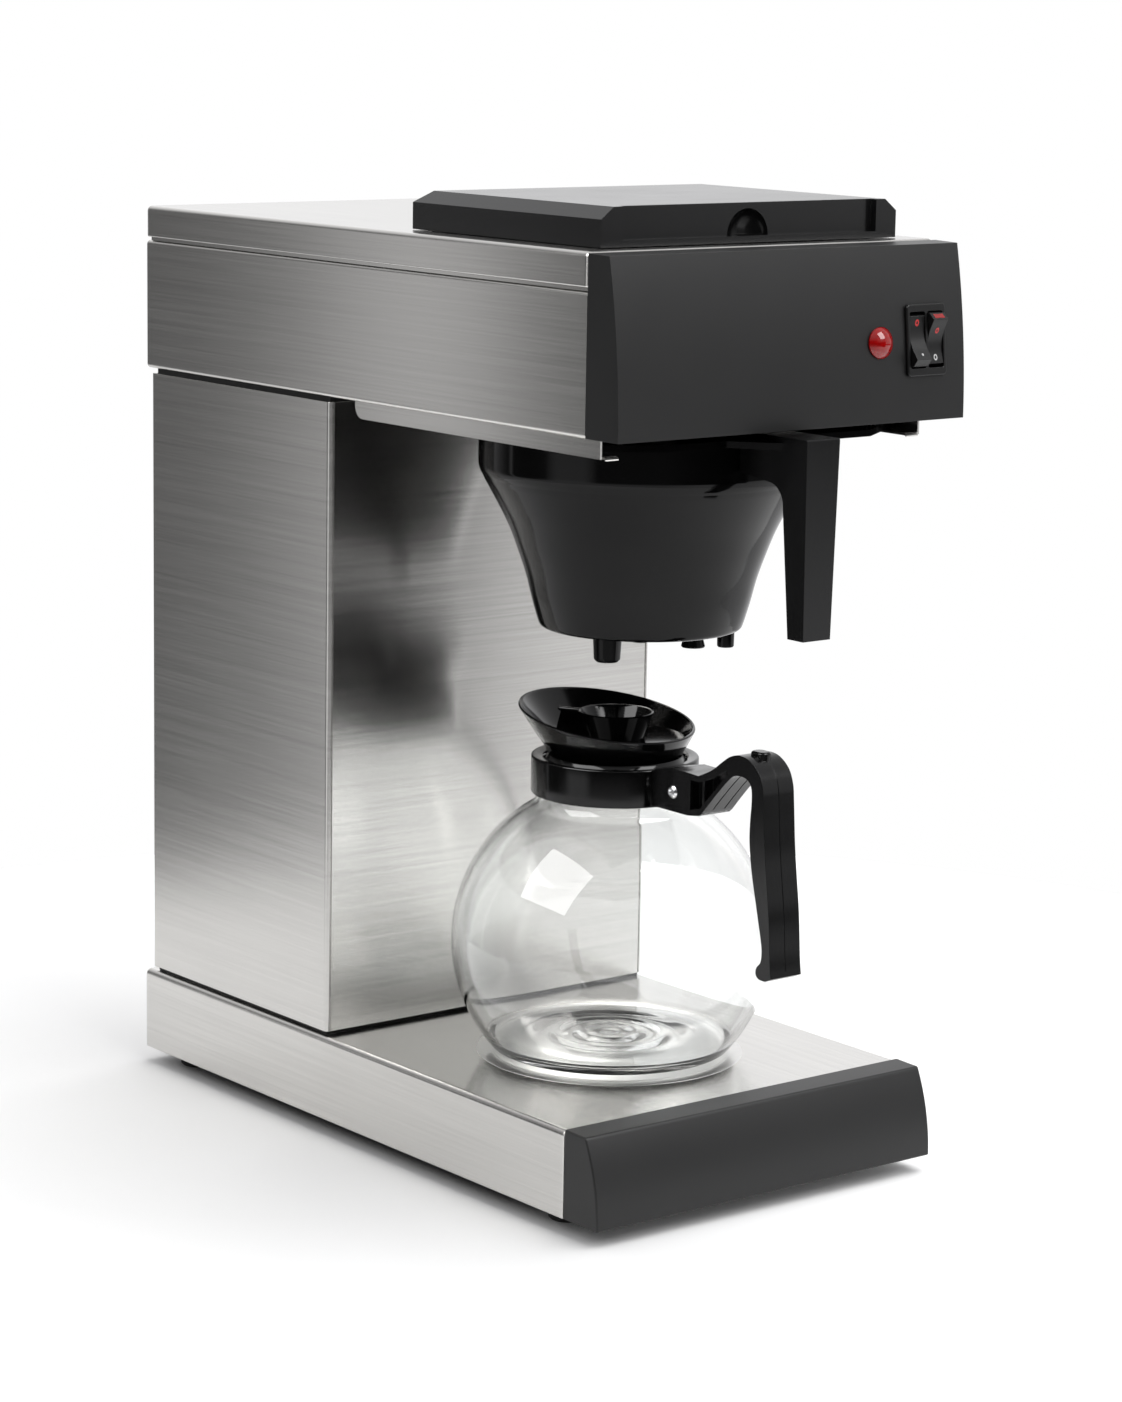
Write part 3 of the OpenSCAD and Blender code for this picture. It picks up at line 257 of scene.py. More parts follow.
class Paint:
    """A node material with a few helpers."""

    def __init__(self, name):
        self.mat = bpy.data.materials.new(name)
        self.mat.use_nodes = True
        self.tree = self.mat.node_tree
        self.bsdf = next(n for n in self.tree.nodes if n.type == "BSDF_PRINCIPLED")
        self.coords = self.node("ShaderNodeTexCoord")

    def node(self, kind, **values):
        n = self.tree.nodes.new(kind)
        for k, v in values.items():
            setattr(n, k, v)
        return n

    def link(self, a, b):
        self.tree.links.new(a, b)

    def set(self, **values):
        for k, v in values.items():
            self.bsdf.inputs[k.replace("_", " ")].default_value = v
        return self

    def noise(self, scale, detail=4.0, rough=0.55, over="Object"):
        """Noise with a scale for each axis, over the object's own metres or over its brush map."""
        m = self.node("ShaderNodeMapping")
        m.inputs["Scale"].default_value = scale
        n = self.node("ShaderNodeTexNoise")
        n.inputs["Scale"].default_value = 1.0
        n.inputs["Detail"].default_value = detail
        n.inputs["Roughness"].default_value = rough
        self.link(self.coords.outputs[over], m.inputs["Vector"])
        self.link(m.outputs["Vector"], n.inputs["Vector"])
        return n.outputs["Fac"]

    def ramp(self, fac, low, high, a=0.3, b=0.7):
        r = self.node("ShaderNodeValToRGB")
        r.color_ramp.elements[0].position, r.color_ramp.elements[1].position = a, b
        r.color_ramp.elements[0].color = (*low, 1)
        r.color_ramp.elements[1].color = (*high, 1)
        self.link(fac, r.inputs["Fac"])
        return r.outputs["Color"]

    def spread(self, fac, low, high, a=0.3, b=0.7):
        r = self.node("ShaderNodeMapRange")
        for k, v in {"From Min": a, "From Max": b, "To Min": low, "To Max": high}.items():
            r.inputs[k].default_value = v
        self.link(fac, r.inputs["Value"])
        return r.outputs["Result"]

    def add(self, a, b, share):
        m = self.node("ShaderNodeMix", data_type="FLOAT")
        m.inputs["Factor"].default_value = share
        self.link(a, m.inputs["A"])
        self.link(b, m.inputs["B"])
        return m.outputs["Result"]

    def color(self, out):
        self.link(out, self.bsdf.inputs["Base Color"])
        return self

    def roughness(self, out):
        self.link(out, self.bsdf.inputs["Roughness"])
        return self

    def bump(self, out, depth_mm, strength=1.0):
        b = self.node("ShaderNodeBump")
        b.inputs["Distance"].default_value = depth_mm * MM
        b.inputs["Strength"].default_value = strength
        self.link(out, b.inputs["Height"])
        self.link(b.outputs["Normal"], self.bsdf.inputs["Normal"])
        return self


def brushed(name, fine, coarse, tint=(0.645, 0.635, 0.615), rough=(0.165, 0.19), mapped=True):
    """Brushed sheet: fine and coarse streaks, faint clouding and stretched glints.

    The streaks' scales go across and along the brushing, or along X, Y and Z where there is no map."""
    over = "UV" if mapped else "Object"
    p = Paint(name).set(Metallic=1.0, Anisotropic=0.96)
    streaks = p.add(p.noise(fine, 3, over=over), p.noise(coarse, 4, over=over), 0.45)
    clouds = p.noise((7, 7, 5), 3)
    both = p.add(streaks, clouds, 0.22)
    p.color(p.ramp(both, scaled(tint, 0.9), scaled(tint, 1.07), 0.36, 0.64))
    p.roughness(p.spread(both, rough[0], rough[1], 0.35, 0.65))
    p.bump(p.noise(coarse, 2, over=over), 0.0003, 0.08)
    if mapped:
        t = p.node("ShaderNodeTangent", direction_type="UV_MAP", uv_map="brush")
        p.link(t.outputs["Tangent"], p.bsdf.inputs["Tangent"])
    else:
        p.set(Anisotropic=0.0)
    return p.mat


def moulded(name, tint, rough, grain=1500, depth=0.02, spec=0.5, vary=0.12, strength=0.5):
    """Moulded plastic with its fine texture and slight unevenness."""
    p = Paint(name).set(IOR=1.5)
    p.bsdf.inputs["Specular IOR Level"].default_value = spec
    fine = p.noise((grain,) * 3, 3, 0.6)
    wide = p.noise((14, 14, 14), 3)
    p.color(p.ramp(p.add(fine, wide, 0.5), scaled(tint, 1 - vary), scaled(tint, 1 + vary)))
    p.roughness(p.spread(p.add(fine, wide, 0.7), rough[0], rough[1]))
    p.bump(fine, depth, strength)
    return p.mat


def plain_metal(name, tint, rough, scale=700):
    p = Paint(name).set(Metallic=1.0)
    n = p.noise((scale,) * 3, 4)
    w = p.noise((30, 30, 30), 3)
    p.color(p.ramp(p.add(n, w, 0.5), scaled(tint, 0.85), scaled(tint, 1.1)))
    p.roughness(p.spread(n, rough[0], rough[1]))
    p.bump(n, 0.006, 0.4)
    return p.mat


steel = brushed("steel_sheet", (1100, 9, 1), (420, 4, 1))
steel_plate = brushed("steel_spun", (60, 60, 60), (14, 14, 14), (0.76, 0.755, 0.74), (0.3, 0.36),
                      mapped=False)
steel_cad = brushed("steel_carried", (9, 9, 1100), (4, 4, 420), mapped=False)
charcoal = moulded("charcoal_plastic", (0.0058, 0.0058, 0.006), (0.37, 0.44), 1700, 0.03, 0.45, 0.15, 0.4)
lid_black = moulded("lid_plastic", (0.007, 0.007, 0.0073), (0.17, 0.22), 1300, 0.012, 0.55, 0.12, 0.12)
switch_black = moulded("switch_plastic", (0.0048, 0.0048, 0.005), (0.3, 0.38), 2500, 0.01, 0.36)
gloss_black = moulded("gloss_plastic", (0.0018, 0.0018, 0.0019), (0.09, 0.13), 60, 0.015, 0.3, 0.2, 0.12)
satin_black = moulded("basket_plastic", (0.0014, 0.0014, 0.0015), (0.07, 0.11), 60, 0.012, 0.2, 0.2, 0.12)
grip_black = moulded("grip_plastic", (0.0038, 0.0038, 0.004), (0.15, 0.2), 60, 0.012, 0.34, 0.2, 0.1)
rubber = moulded("black_rubber", (0.02, 0.02, 0.02), (0.7, 0.8), 900, 0.03)
silicone = moulded("silicone_hose", (0.62, 0.62, 0.58), (0.35, 0.45), 300, 0.02)
tank_white = moulded("tank_plastic", (0.6, 0.62, 0.63), (0.3, 0.4), 200, 0.02)
ceramic = moulded("white_ceramic", (0.72, 0.68, 0.58), (0.4, 0.55), 800, 0.02)
zinc = plain_metal("zinc_sheet", (0.5, 0.51, 0.52), (0.3, 0.45), 180)
# painted shade: a near-black sheet that darkens the gaps above and below the column like shadow
shadow_sheet = plain_metal("painted_shade_sheet", (0.035, 0.035, 0.035), (0.5, 0.6), 180)
screw_metal = plain_metal("screw_steel", (0.72, 0.72, 0.73), (0.18, 0.3))
cast = plain_metal("cast_aluminium", (0.62, 0.63, 0.64), (0.4, 0.55), 400)
sheath = plain_metal("heater_sheath", (0.22, 0.18, 0.15), (0.35, 0.5))
brass = plain_metal("brass", (0.72, 0.54, 0.24), (0.2, 0.3))


def clear_glass():
    p = Paint("clear_glass").set(Roughness=0.0, IOR=1.5)
    p.bsdf.inputs["Transmission Weight"].default_value = 1.0
    wave = p.noise((22, 22, 16), 2, 0.4)
    p.color(p.ramp(wave, (0.985, 0.997, 0.993), (0.997, 1.0, 0.999)))
    p.bump(wave, 0.25, 0.25)
    return p.mat


def red_glow(name, tint, strength):
    p = Paint(name).set(Roughness=0.05, IOR=1.5)
    p.bsdf.inputs["Transmission Weight"].default_value = 0.12
    p.bsdf.inputs["Coat Weight"].default_value = 0.25
    p.bsdf.inputs["Coat Roughness"].default_value = 0.04
    p.bsdf.inputs["Emission Strength"].default_value = strength
    p.bsdf.inputs["Emission Color"].default_value = (0.9, 0.01, 0.01, 1)
    cells = p.noise((520, 520, 520), 2)
    p.color(p.ramp(cells, tint, scaled(tint, 1.3)))
    p.bump(cells, 0.004, 0.1)
    return p.mat


glass = clear_glass()
red_lens = red_glow("red_lens", (0.26, 0.0012, 0.0015), 0.03)
red_mark = moulded("red_mark", (0.5, 0.02, 0.02), (0.35, 0.45), 900, 0.005)
white_mark = moulded("white_mark", (0.6, 0.6, 0.6), (0.35, 0.45), 900, 0.005)

CARRIED = {
    zinc: ["base_bottom_plate", "plate_clamp", "heater_bracket"],
    screw_metal: ["foot_screws", "clamp_nut", "rear_cover_screws", "fascia_screws", "rail_screws",
                  "outlet_strainer", "hose_clamps", "heater_screws", "hinge_brackets", "hinge_pins",
                  "basket_screws"],
    steel_cad: ["rear_cover", "spray_head"],
    rubber: ["wiring_loom"],
    sheath: ["plate_heater", "heating_rod"],
    ceramic: ["plate_thermostat", "terminal_block", "heater_thermostat", "thermal_fuse"],
    switch_black: ["cord_gland", "gland_nut", "lamp_body"],
    brass: ["earth_screw", "switch_terminals"],
    silicone: ["cold_hose", "check_valve", "riser_hose"],
    tank_white: ["water_tank"],
    cast: ["flow_heater"],
}
for material, nodes in CARRIED.items():
    for node in nodes:
        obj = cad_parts[node]
        obj.data.materials.clear()
        obj.data.materials.append(material)

X, Y = Vector((1, 0, 0)), Vector((0, 1, 0))

# ---- base -----------------------------------------------------------------------

HALF_W = 102.5
BASE_TOP, BASE_LOW = 49.8, 8.0
BASE_FRONT, BASE_BACK = 5.9, 360.1
BASE_SHEET = 1.2
BREW_Y = 100.2          # middle of the hot plate, the jug and the spray head
PLATE_HOLE, PLATE_TOP = 60, 52.2
CABLE_HOLES = ((-40, 320), (40, 320))
GLAND = (60, 29)


def rounded_shell(half, front, back, top, low, r, t):
    """Folded sheet box, open below and in front, with its upper and rear edges rounded to r."""
    def block(s, y0, z0):
        b = box(-half + s, half - s, y0, back - s, z0, top - s)
        keep = [e for e in b.edges if all(v.co.z > top - s - 1 for v in e.verts) and
                not all(v.co.y < y0 + 1 for v in e.verts)]
        keep += [e for e in b.edges if all(v.co.y > back - s - 1 for v in e.verts) and e not in keep]
        keep = [e for e in keep if not all(v.co.z < z0 + 1 for v in e.verts)]
        bmesh.ops.bevel(b, geom=keep, offset=max(r - s, 0.4), segments=6, affect="EDGES", profile=0.5)
        return b
    return cut(block(0, front, low), block(t, front - 2, low - 2))


base = rounded_shell(HALF_W, BASE_FRONT, BASE_BACK, BASE_TOP, BASE_LOW, 3, BASE_SHEET)
base = cut(base, rod("z", (0, BREW_Y), PLATE_HOLE, 46, 52, 96),
           *[rod("z", at, 9, 46, 52, 32) for at in CABLE_HOLES], rod("y", GLAND, 8.1, 357, 362, 32))
piece(base, "base_casing", steel, stands_for=["base_shell"], bevel=0.7,
      segments=3, grain=Y)

MOULD_T = 2.5
BASE_TRIM = (-9.6, BASE_TOP + 0.3, -19.1, BASE_LOW)
trim = prism("x", bulge(BASE_TRIM) + [(BASE_FRONT - 0.2, BASE_TOP + 0.7), (BASE_FRONT - 0.2, BASE_LOW)],
             -HALF_W + 0.2, HALF_W - 0.2)
hollow = (bulge(BASE_TRIM, MOULD_T)
          + [(BASE_FRONT + 2, BASE_TOP - 2.2), (BASE_FRONT + 2, BASE_LOW + MOULD_T)])
trim = cut(trim, prism("x", hollow, -HALF_W + 2.7, HALF_W - 2.7))
piece(trim, "base_front_moulding", charcoal, stands_for=["base_front_trim"],
      bevel=0.9)

foot_side = [(2.3, 9), (2.3, 5), (4.6, 5), (4.6, 0.6), (5.2, 0), (8.4, 0), (9.2, 0.8), (10.3, 7.4),
             (10.5, 9)]
feet = bmesh.new()
for foot_x in (-83, 83):
    for foot_y in (26, 338):
        lathe(foot_side, foot_x, foot_y, 48, feet)
piece(feet, "rubber_feet", rubber, stands_for=["feet"])

crown = smooth([(42, PLATE_TOP), (47, 52.05), (52, 51.2), (56, 50.3), (59, 50.02), (62, 49.97)], 4)
plate_rim = [(64.3, 49.96), (64.6, 49.75), (64.6, 49.6), (59.4, 49.6), (59.4, 45), (57.8, 45),
             (57.8, 50.2)]
plate = lathe([(0, 50.2), (0, PLATE_TOP)] + crown + plate_rim, 0, BREW_Y, 160)
piece(plate, "warming_plate", steel_plate, stands_for=["hot_plate"], angle=25)

seal = lathe([(59.45, 46.2), (59.95, 46.2), (59.95, 49.5), (59.45, 49.5)], 0, BREW_Y, 96)
piece(seal, "plate_gasket", rubber, stands_for=["plate_seal"])

# ---- column ---------------------------------------------------------------------

SHEET_T = 1
COL_HALF, COL_FRONT, COL_BACK = 100.15, 197.2, 353.9
COL_LOW, COL_HIGH = 51.7, 361.3


def column_outline(t):
    w, y, r = COL_HALF - t, COL_FRONT + t, 2.2 - t
    return ([(-w, COL_BACK - t)] + arc(-w + r, y + r, r, 180, 270, 6) + arc(w - r, y + r, r, 270, 360, 6)
            + [(w, COL_BACK - t)])


column = cut(prism("z", column_outline(0), COL_LOW, COL_HIGH),
             prism("z", column_outline(SHEET_T), COL_LOW - 1, COL_HIGH + 1),
             box(-86, 86, COL_BACK - 3, COL_BACK + 1, 0, 400))
for seam_x in (-COL_HALF + 2.4, COL_HALF - 2.4):
    column = cut(column, box(seam_x - 0.35, seam_x + 0.35, COL_FRONT - 1, COL_FRONT + 0.7, 0, 400))
piece(column, "column_casing", steel, stands_for=["column_shell"], bevel=0.45,
      segments=3, grain=X)
# the liner is painted near-black to stand for the shade in the column's gaps
inner = cut(box(-98.8, 98.8, 198.7, 351.5, 49.9, 363.9), box(-97.6, 97.6, 199.9, 360, 40, 370))
piece(inner, "column_liner", shadow_sheet, stands_for=["column_frame"], bevel=0.3,
      segments=2)

# ---- upper housing --------------------------------------------------------------

HOUSE_LOW, HOUSE_TOP, TOP = 364.0, 428.4, 445.6
SIDE = 102.1
HOUSE_D = 355.9


def house_outline(t):
    w, r = SIDE - t, 2.2 if t == 0 else 1.2
    z0, z1 = HOUSE_LOW + t, HOUSE_TOP - t
    return (arc(w - r, z1 - r, r, 0, 90, 6) + arc(-w + r, z1 - r, r, 90, 180, 6)
            + arc(-w + r, z0 + r, r, 180, 270, 6) + arc(w - r, z0 + r, r, 270, 360, 6))


house = cut(prism("y", house_outline(0), 0, HOUSE_D), prism("y", house_outline(SHEET_T), -1, HOUSE_D - 1),
            box(-99.5, 99.5, -1, HOUSE_D - 2.6, 424, 430),
            rod("z", (0, BREW_Y), 15, 362, 367), box(-75, 75, 220, 335, 362, 367))
neck = cut(box(-100.5, 100.5, 0.6, HOUSE_D - 1.6, 426.9, 441),
           box(-99.5, 99.5, -1, HOUSE_D - 2.6, 426, 442))
flanges = [box(-101, -87.5, 0.05, 1, 364.5, 425), box(87.5, 101, 0.05, 1, 364.5, 425),
           box(-101, 101, 0.05, 1, 364.5, 374)]
house = join(house, neck, *flanges)
piece(house, "upper_casing", steel, stands_for=["upper_housing"], bevel=0.48,
      segments=3, grain=Y)

CAP_FRONT, CAP_BACK, CAP_LOW, CAP_HALF = -1.0, 356.4, 430.0, 102.6


def cap_block(t):
    b = box(-CAP_HALF + t, CAP_HALF - t, CAP_FRONT + t, CAP_BACK - t, CAP_LOW - 3 * t, TOP - t)
    edges = [e for e in b.edges if not all(v.co.z < CAP_LOW + 1 for v in e.verts)]
    bmesh.ops.bevel(b, geom=edges, offset=2.5 - t, segments=6, affect="EDGES", profile=0.5)
    if t == 0:
        hem = [e for e in b.edges if all(v.co.z < CAP_LOW + 0.01 for v in e.verts)]
        bmesh.ops.bevel(b, geom=hem, offset=0.85, segments=5, affect="EDGES", profile=0.5)
    return b


filler = prism("z", [(x, y + 82.5) for x, y in round_rect(144, 105, 8)], TOP - 4, TOP + 2)
cap = cut(cap_block(0), cap_block(SHEET_T), filler)
piece(cap, "top_casing", steel, stands_for=["top_cover"], bevel=0.48,
      segments=3, grain=Y)

# ---- fascia and controls ----------------------------------------------------------

FASCIA = (-15.8, 444.6, -23.8, 364.5)
FASCIA_HALF = 102.9
SWITCH, LAMP = (78.3, 401.5), (50.5, 401.2)


def on_fascia(x, z):
    """Local frame of a control: origin on the fascia's face, -y outward."""
    y_top, z_top, y_low, z_low = FASCIA
    h, d = z_top - z_low, y_top - y_low
    r = (h * h + d * d) / (2 * d)
    y = y_low + r - math.sqrt(r * r - (z - z_low) ** 2)
    return Matrix.Translation((x, y, z)) @ Matrix.Rotation(-math.asin((z - z_low) / r), 4, "X")


fascia = prism("x", bulge(FASCIA) + [(-1.2, TOP - 0.6), (-1.2, 364.5)], -FASCIA_HALF, FASCIA_HALF)
hollow = prism("x", bulge(FASCIA, MOULD_T) + [(1, TOP - 3.1), (1, 367)], -FASCIA_HALF + MOULD_T,
               FASCIA_HALF - MOULD_T)
at_switch, at_lamp = on_fascia(*SWITCH), on_fascia(*LAMP)
fascia = cut(fascia, hollow, turned(box(-11, 11, -5, 7, -15.5, 15.5), at_switch),
             turned(rod("y", (0, 0), 5.6, -6, 6), at_lamp))
bosses = [rod("y", (x, z), 4.5, -16, -1.2, 24) for x in (-92, 92) for z in (375, 420)]
fascia = join(fascia, *bosses)
piece(fascia, "front_moulding", charcoal, stands_for=["front_fascia"], bevel=0.9)

CELL_W, CELL_H, PITCH, PIVOT = 9.5, 25.8, 10.9, 1.2
bezel = prism("y", round_rect(24, 33, 2), -1.6, -0.1)
bmesh.ops.bevel(bezel, geom=[e for e in bezel.edges if all(v.co.y < -1.5 for v in e.verts)], offset=0.7,
                segments=4, affect="EDGES", profile=0.5)
well = box(-10.7, 10.7, -0.3, 18.8, -15.2, 15.2)
cells = [prism("y", [(x + s * PITCH / 2, z) for x, z in round_rect(CELL_W, CELL_H, 0.9)], -4, 15)
         for s in (-1, 1)]
bezel = cut(join(bezel, well), *cells)
piece(bezel, "switch_bezel", switch_black, stands_for=["switch_frame"], bevel=0.25,
      segments=3, matrix=at_switch)

THROW = 24              # degrees between a rocker's two positions
DRUM_R, PIN_R = 12.6, 1.2
FACE_END, SLOPE_END = (-4.9, 10.2), (-1.0, 12.9)
half_face = [(-2.9, 4.5), (-4.35, 8.6), FACE_END]
FACE = smooth([(y, -z) for y, z in reversed(half_face)] + [(-2.3, 0)] + half_face, 6)
FACE = [(SLOPE_END[0], -SLOPE_END[1])] + FACE + [SLOPE_END]
MARK_TALL = 1.25        # height of a mark against its width


def face_depth(z):
    """Local y of a rocker's face at height z."""
    for (y0, z0), (y1, z1) in zip(FACE, FACE[1:]):
        if z0 <= z <= z1:
            return y0 + (y1 - y0) * (z - z0) / (z1 - z0)


def rocker(side, marks):
    """A rocker with its marks; returns its local frame, with the pivot at the origin and -y outward."""
    half = CELL_W / 2 - 0.25
    drum = rod("x", (0, 0), DRUM_R, -half, half, 96)
    drum = cut(drum, prism("x", FACE + [(-20, 12.9), (-20, -12.9)], -half - 1, half + 1),
               box(-half - 2, half + 2, 5.5, 30, -20, 20))
    drum = join(drum, rod("x", (0, 0), PIN_R, -half - 0.6, half + 0.6, 24))
    at = at_switch @ Matrix.Translation((side * PITCH / 2, PIVOT, 0)) @ Matrix.Rotation(
        math.radians(side * THROW / 2), 4, "X")
    name = "right" if side > 0 else "left"
    piece(drum, name + "_switch_rocker", switch_black, body=name + "_rocker",
          stands_for=[name + "_rocker"], bevel=0.5, segments=3, matrix=at)
    for i, (z, r0, r1, paint) in enumerate(marks):
        ring = bmesh.new()
        rows = []
        for r, lift in ((r0, -0.04), (r0, 0.06), (r1, 0.06), (r1, -0.04)):
            outline = [(u, z + MARK_TALL * v) for u, v in circle(0, 0, r, 40)]
            rows.append([ring.verts.new((u, face_depth(v) - lift, v)) for u, v in outline])
        piece(skin(ring, rows), f"{name}_mark_{i}", paint, body=name + "_rocker", matrix=at)
    return at


rocker(-1, [(7.2, 0.5, 1.2, red_mark), (-7.6, 0.12, 0.5, white_mark)])
at_right = rocker(1, [(4.6, 0.45, 1.15, red_mark), (-7.6, 0.6, 1.1, white_mark)])
window = [(FACE_END[0] + (SLOPE_END[0] - FACE_END[0]) * t - 0.57 * d,
           FACE_END[1] + (SLOPE_END[1] - FACE_END[1]) * t + 0.82 * d)
          for t, d in ((0.2, -0.5), (0.2, 0.07), (0.72, 0.07), (0.72, -0.5))]
piece(prism("x", window, -3, 3), "right_rocker_window", red_lens, body="right_rocker", matrix=at_right)

lens = lathe([(0, -6), (4.1, -6), (4.1, 0.3), (7.2, 0.3), (7.25, 0.8)]
             + arc(0, -4.4, 8.7, 34, 90, 16)[:-1] + [(0, 4.3)], 0, 0, 64)
lens.transform(Matrix.Rotation(math.pi / 2, 4, "X"))
piece(lens, "pilot_lens", red_lens, stands_for=["lamp_lens"], matrix=at_lamp, angle=50)

# ---- rails ----------------------------------------------------------------------

RAIL_FRONT, RAIL_BACK, RAIL_LOW, RAIL_TOP = -2.5, 183, 355, 363.95
for s, name in ((-1, "left_rail"), (1, "right_rail")):
    web_side = ([(RAIL_FRONT, RAIL_TOP), (RAIL_FRONT, RAIL_LOW)]
                + arc(RAIL_BACK - 6, RAIL_LOW + 6, 6, -90, 0, 6) + [(RAIL_BACK, RAIL_TOP)])
    web = prism("x", web_side, 94.4, 95.4)
    shelf = box(86, 94.9, RAIL_FRONT, RAIL_BACK - 6, RAIL_LOW, RAIL_LOW + 1)
    foot = box(84, 94.9, 8, RAIL_BACK - 2, 363, RAIL_TOP)
    lip_side = [(-2.4, 355), (-2.4, 356), (-3.4, 355.7), (-3.9, 354.9), (-3.7, 354.3), (-3.1, 354.9)]
    lip = prism("x", lip_side, 86, 93.4)
    rail = join(web, shelf, foot, lip)
    if s < 0:
        rail.transform(Matrix.Diagonal((-1, 1, 1, 1)))
        bmesh.ops.reverse_faces(rail, faces=rail.faces)
    piece(rail, name + "_sheet", steel, stands_for=[name], bevel=0.2,
          segments=2, grain=Y)

# ---- fill lid ---------------------------------------------------------------------

LID_HALF, LID_FRONT, LID_BACK, LID_TOP = 87.5, 9.6, 149.0, 463.8
LID_LOW, LID_SIDE, SLOPE = 446.0, 458.4, 7.0
SILL, RECESS_Y, SCOOP_R = 449.0, 13.2, 12.3
HINGE, HINGE_X = (152.4, 448.9), 50
cross = [(-LID_HALF, LID_LOW), (-LID_HALF, LID_SIDE), (-LID_HALF + SLOPE, LID_TOP),
         (LID_HALF - SLOPE, LID_TOP), (LID_HALF, LID_SIDE), (LID_HALF, LID_LOW)]
length = [(LID_FRONT, LID_LOW), (LID_FRONT, LID_TOP), (LID_BACK - SLOPE, LID_TOP), (LID_BACK, LID_SIDE),
          (LID_BACK, LID_LOW)]
lid = combine(prism("y", cross, 0, 160), "INTERSECT", prism("x", length, -100, 100))
scoop = lathe([(0, -SCOOP_R)] + arc(0, 0, SCOOP_R, -80, 80, 20) + [(0, SCOOP_R)], 0, 0, 48)
scoop.transform(Matrix.Translation((0, LID_FRONT + 2, SILL)) @ Matrix.Diagonal((1, 0.8, 1, 1)))
scoop = combine(scoop, "INTERSECT", box(-20, 20, -20, 40, SILL, 480))
lid = cut(lid, box(-75, 75, 0, RECESS_Y, SILL, 470), scoop)
skirt = cut(box(-69, 69, 33, 132, 441, 447), box(-67, 67, 35, 130, 440, 446.5))
lid = join(lid, skirt)
for x in (-HINGE_X, HINGE_X):
    lid = join(lid, rod("x", HINGE, 3, x - 10, x + 10, 32), box(x - 10, x + 10, 148, HINGE[0], 446.5, 451.3))
lid = cut(lid, *[rod("x", HINGE, 1.56, x - 11, x + 11, 24) for x in (-HINGE_X, HINGE_X)])
piece(lid, "fill_lid_moulding", lid_black, body="fill_lid",
      stands_for=["fill_lid"], bevel=0.8, segments=3)

# ---- brew basket --------------------------------------------------------------------

BASKET_Y = 83.2
ROUND = 144             # sides of the basket's and the collar's circles
FLANGE = (356.4, 359.4)
CUP_LOW = 260.7
outer = ([(0, CUP_LOW), (44.5, CUP_LOW)] + arc(45.5, CUP_LOW + 3, 3, -90, -10, 6)
         + smooth([(49.1, 265), (51.7, 274), (54.7, 285.7), (58.6, 297.1), (63, 308.4), (68.8, 319.8),
                   (75, 331)], 5)
         + smooth([(75.6, 332.4), (76.8, 334.6), (77.6, 337.2), (77.7, 338.5)], 3)
         + [(77.7, 357.4), (0, 357.4)])
inside = ([(0, CUP_LOW + 2.5), (43.5, CUP_LOW + 2.5)]
          + smooth([(46.3, 266), (49.1, 274.6), (52, 286.3), (55.9, 298), (60.3, 309.4), (66.1, 320.9),
                    (72.5, 332.4)], 5)
          + [(75.2, 338), (75.2, 362), (0, 362)])


def leg(x, y, side, n=32):
    """Small leg under the cup, its side as (r, height over the cup's foot)."""
    side = [(0, side[0][1])] + side + [(0, side[-1][1])]
    return lathe([(r, CUP_LOW + h) for r, h in side], x, BASKET_Y + y, n)


def moved(pts, y):
    return [(u, v + y) for u, v in pts]


cup = lathe(outer, 0, BASKET_Y, ROUND)
flange = prism("z", moved([(-61.4, -89.2), (61.4, -89.2), (93.6, -68), (93.6, 52), (66, 80), (-66, 80),
                           (-93.6, 52), (-93.6, -68)], BASKET_Y), *FLANGE)
legs = [leg(-31.7, -14.6, [(5.0, -11.8), (6.2, -10.6), (6.9, 1.5)], 48),
        leg(0, 38, [(3.6, -9), (4.2, -8.4), (5.0, 1.5)]),
        leg(31, -26, [(3.6, -9), (4.0, -8.4), (4.2, 1.5)]),
        leg(16, -20, [(5.4, -8.6), (5.7, -8), (4.4, -3), (4.2, 1.5)]),
        leg(0, 0, [(4, -7.5), (4.5, -7), (4.5, 1.5)])]
cup = join(cup, flange, *legs)
cup = cut(cup, lathe(inside, 0, BASKET_Y, ROUND), rod("z", (0, BASKET_Y), 2.6, 245, 266, 24))
piece(cup, "brew_basket_moulding", satin_black, body="brew_basket",
      stands_for=["brew_basket"], bevel=0.45, segments=2, angle=35)

grip_side = ([(-124.8, 362.3), (-125.2, 361.5), (-124.2, 271.5), (-113.6, 271.5), (-109.4, 330)]
             + arc(-99.4, 331.2, 10, 180, 90, 8) + [(-86, 343), (-86, 362.3)])
grip = prism("x", [(y + BASKET_Y, z) for y, z in grip_side], -9.8, 9.8)
taper = prism("y", [(-8.1, 271), (8.1, 271), (9.8, 363), (-9.8, 363)], -60, 20)
grip = combine(grip, "INTERSECT", taper)
wing = prism("z", moved([(-9, -110), (9, -110), (26, -89.35), (-26, -89.35)], BASKET_Y), *FLANGE)
root = box(-9, 9, BASKET_Y - 90, BASKET_Y - 79.3, 343, 356.2)
grip = join(grip, wing, root)
grip = cut(grip, rod("z", (0, BASKET_Y), 77.8, 300, 365, ROUND),
           box(-40, 40, BASKET_Y - 89.3, BASKET_Y, 356.3, 370))
piece(grip, "basket_grip", grip_black, body="brew_basket",
      stands_for=["basket_handle"], bevel=1.1, segments=3, angle=35)

# ---- jug ------------------------------------------------------------------------

GLASS_Z = 52.5
GLOBE_Z, GLOBE_R, WALL = 105.0, 77.7, 2.4
NECK_R, NECK_TOP, SHOULDER_R = 37.0, 194.0, 8.0


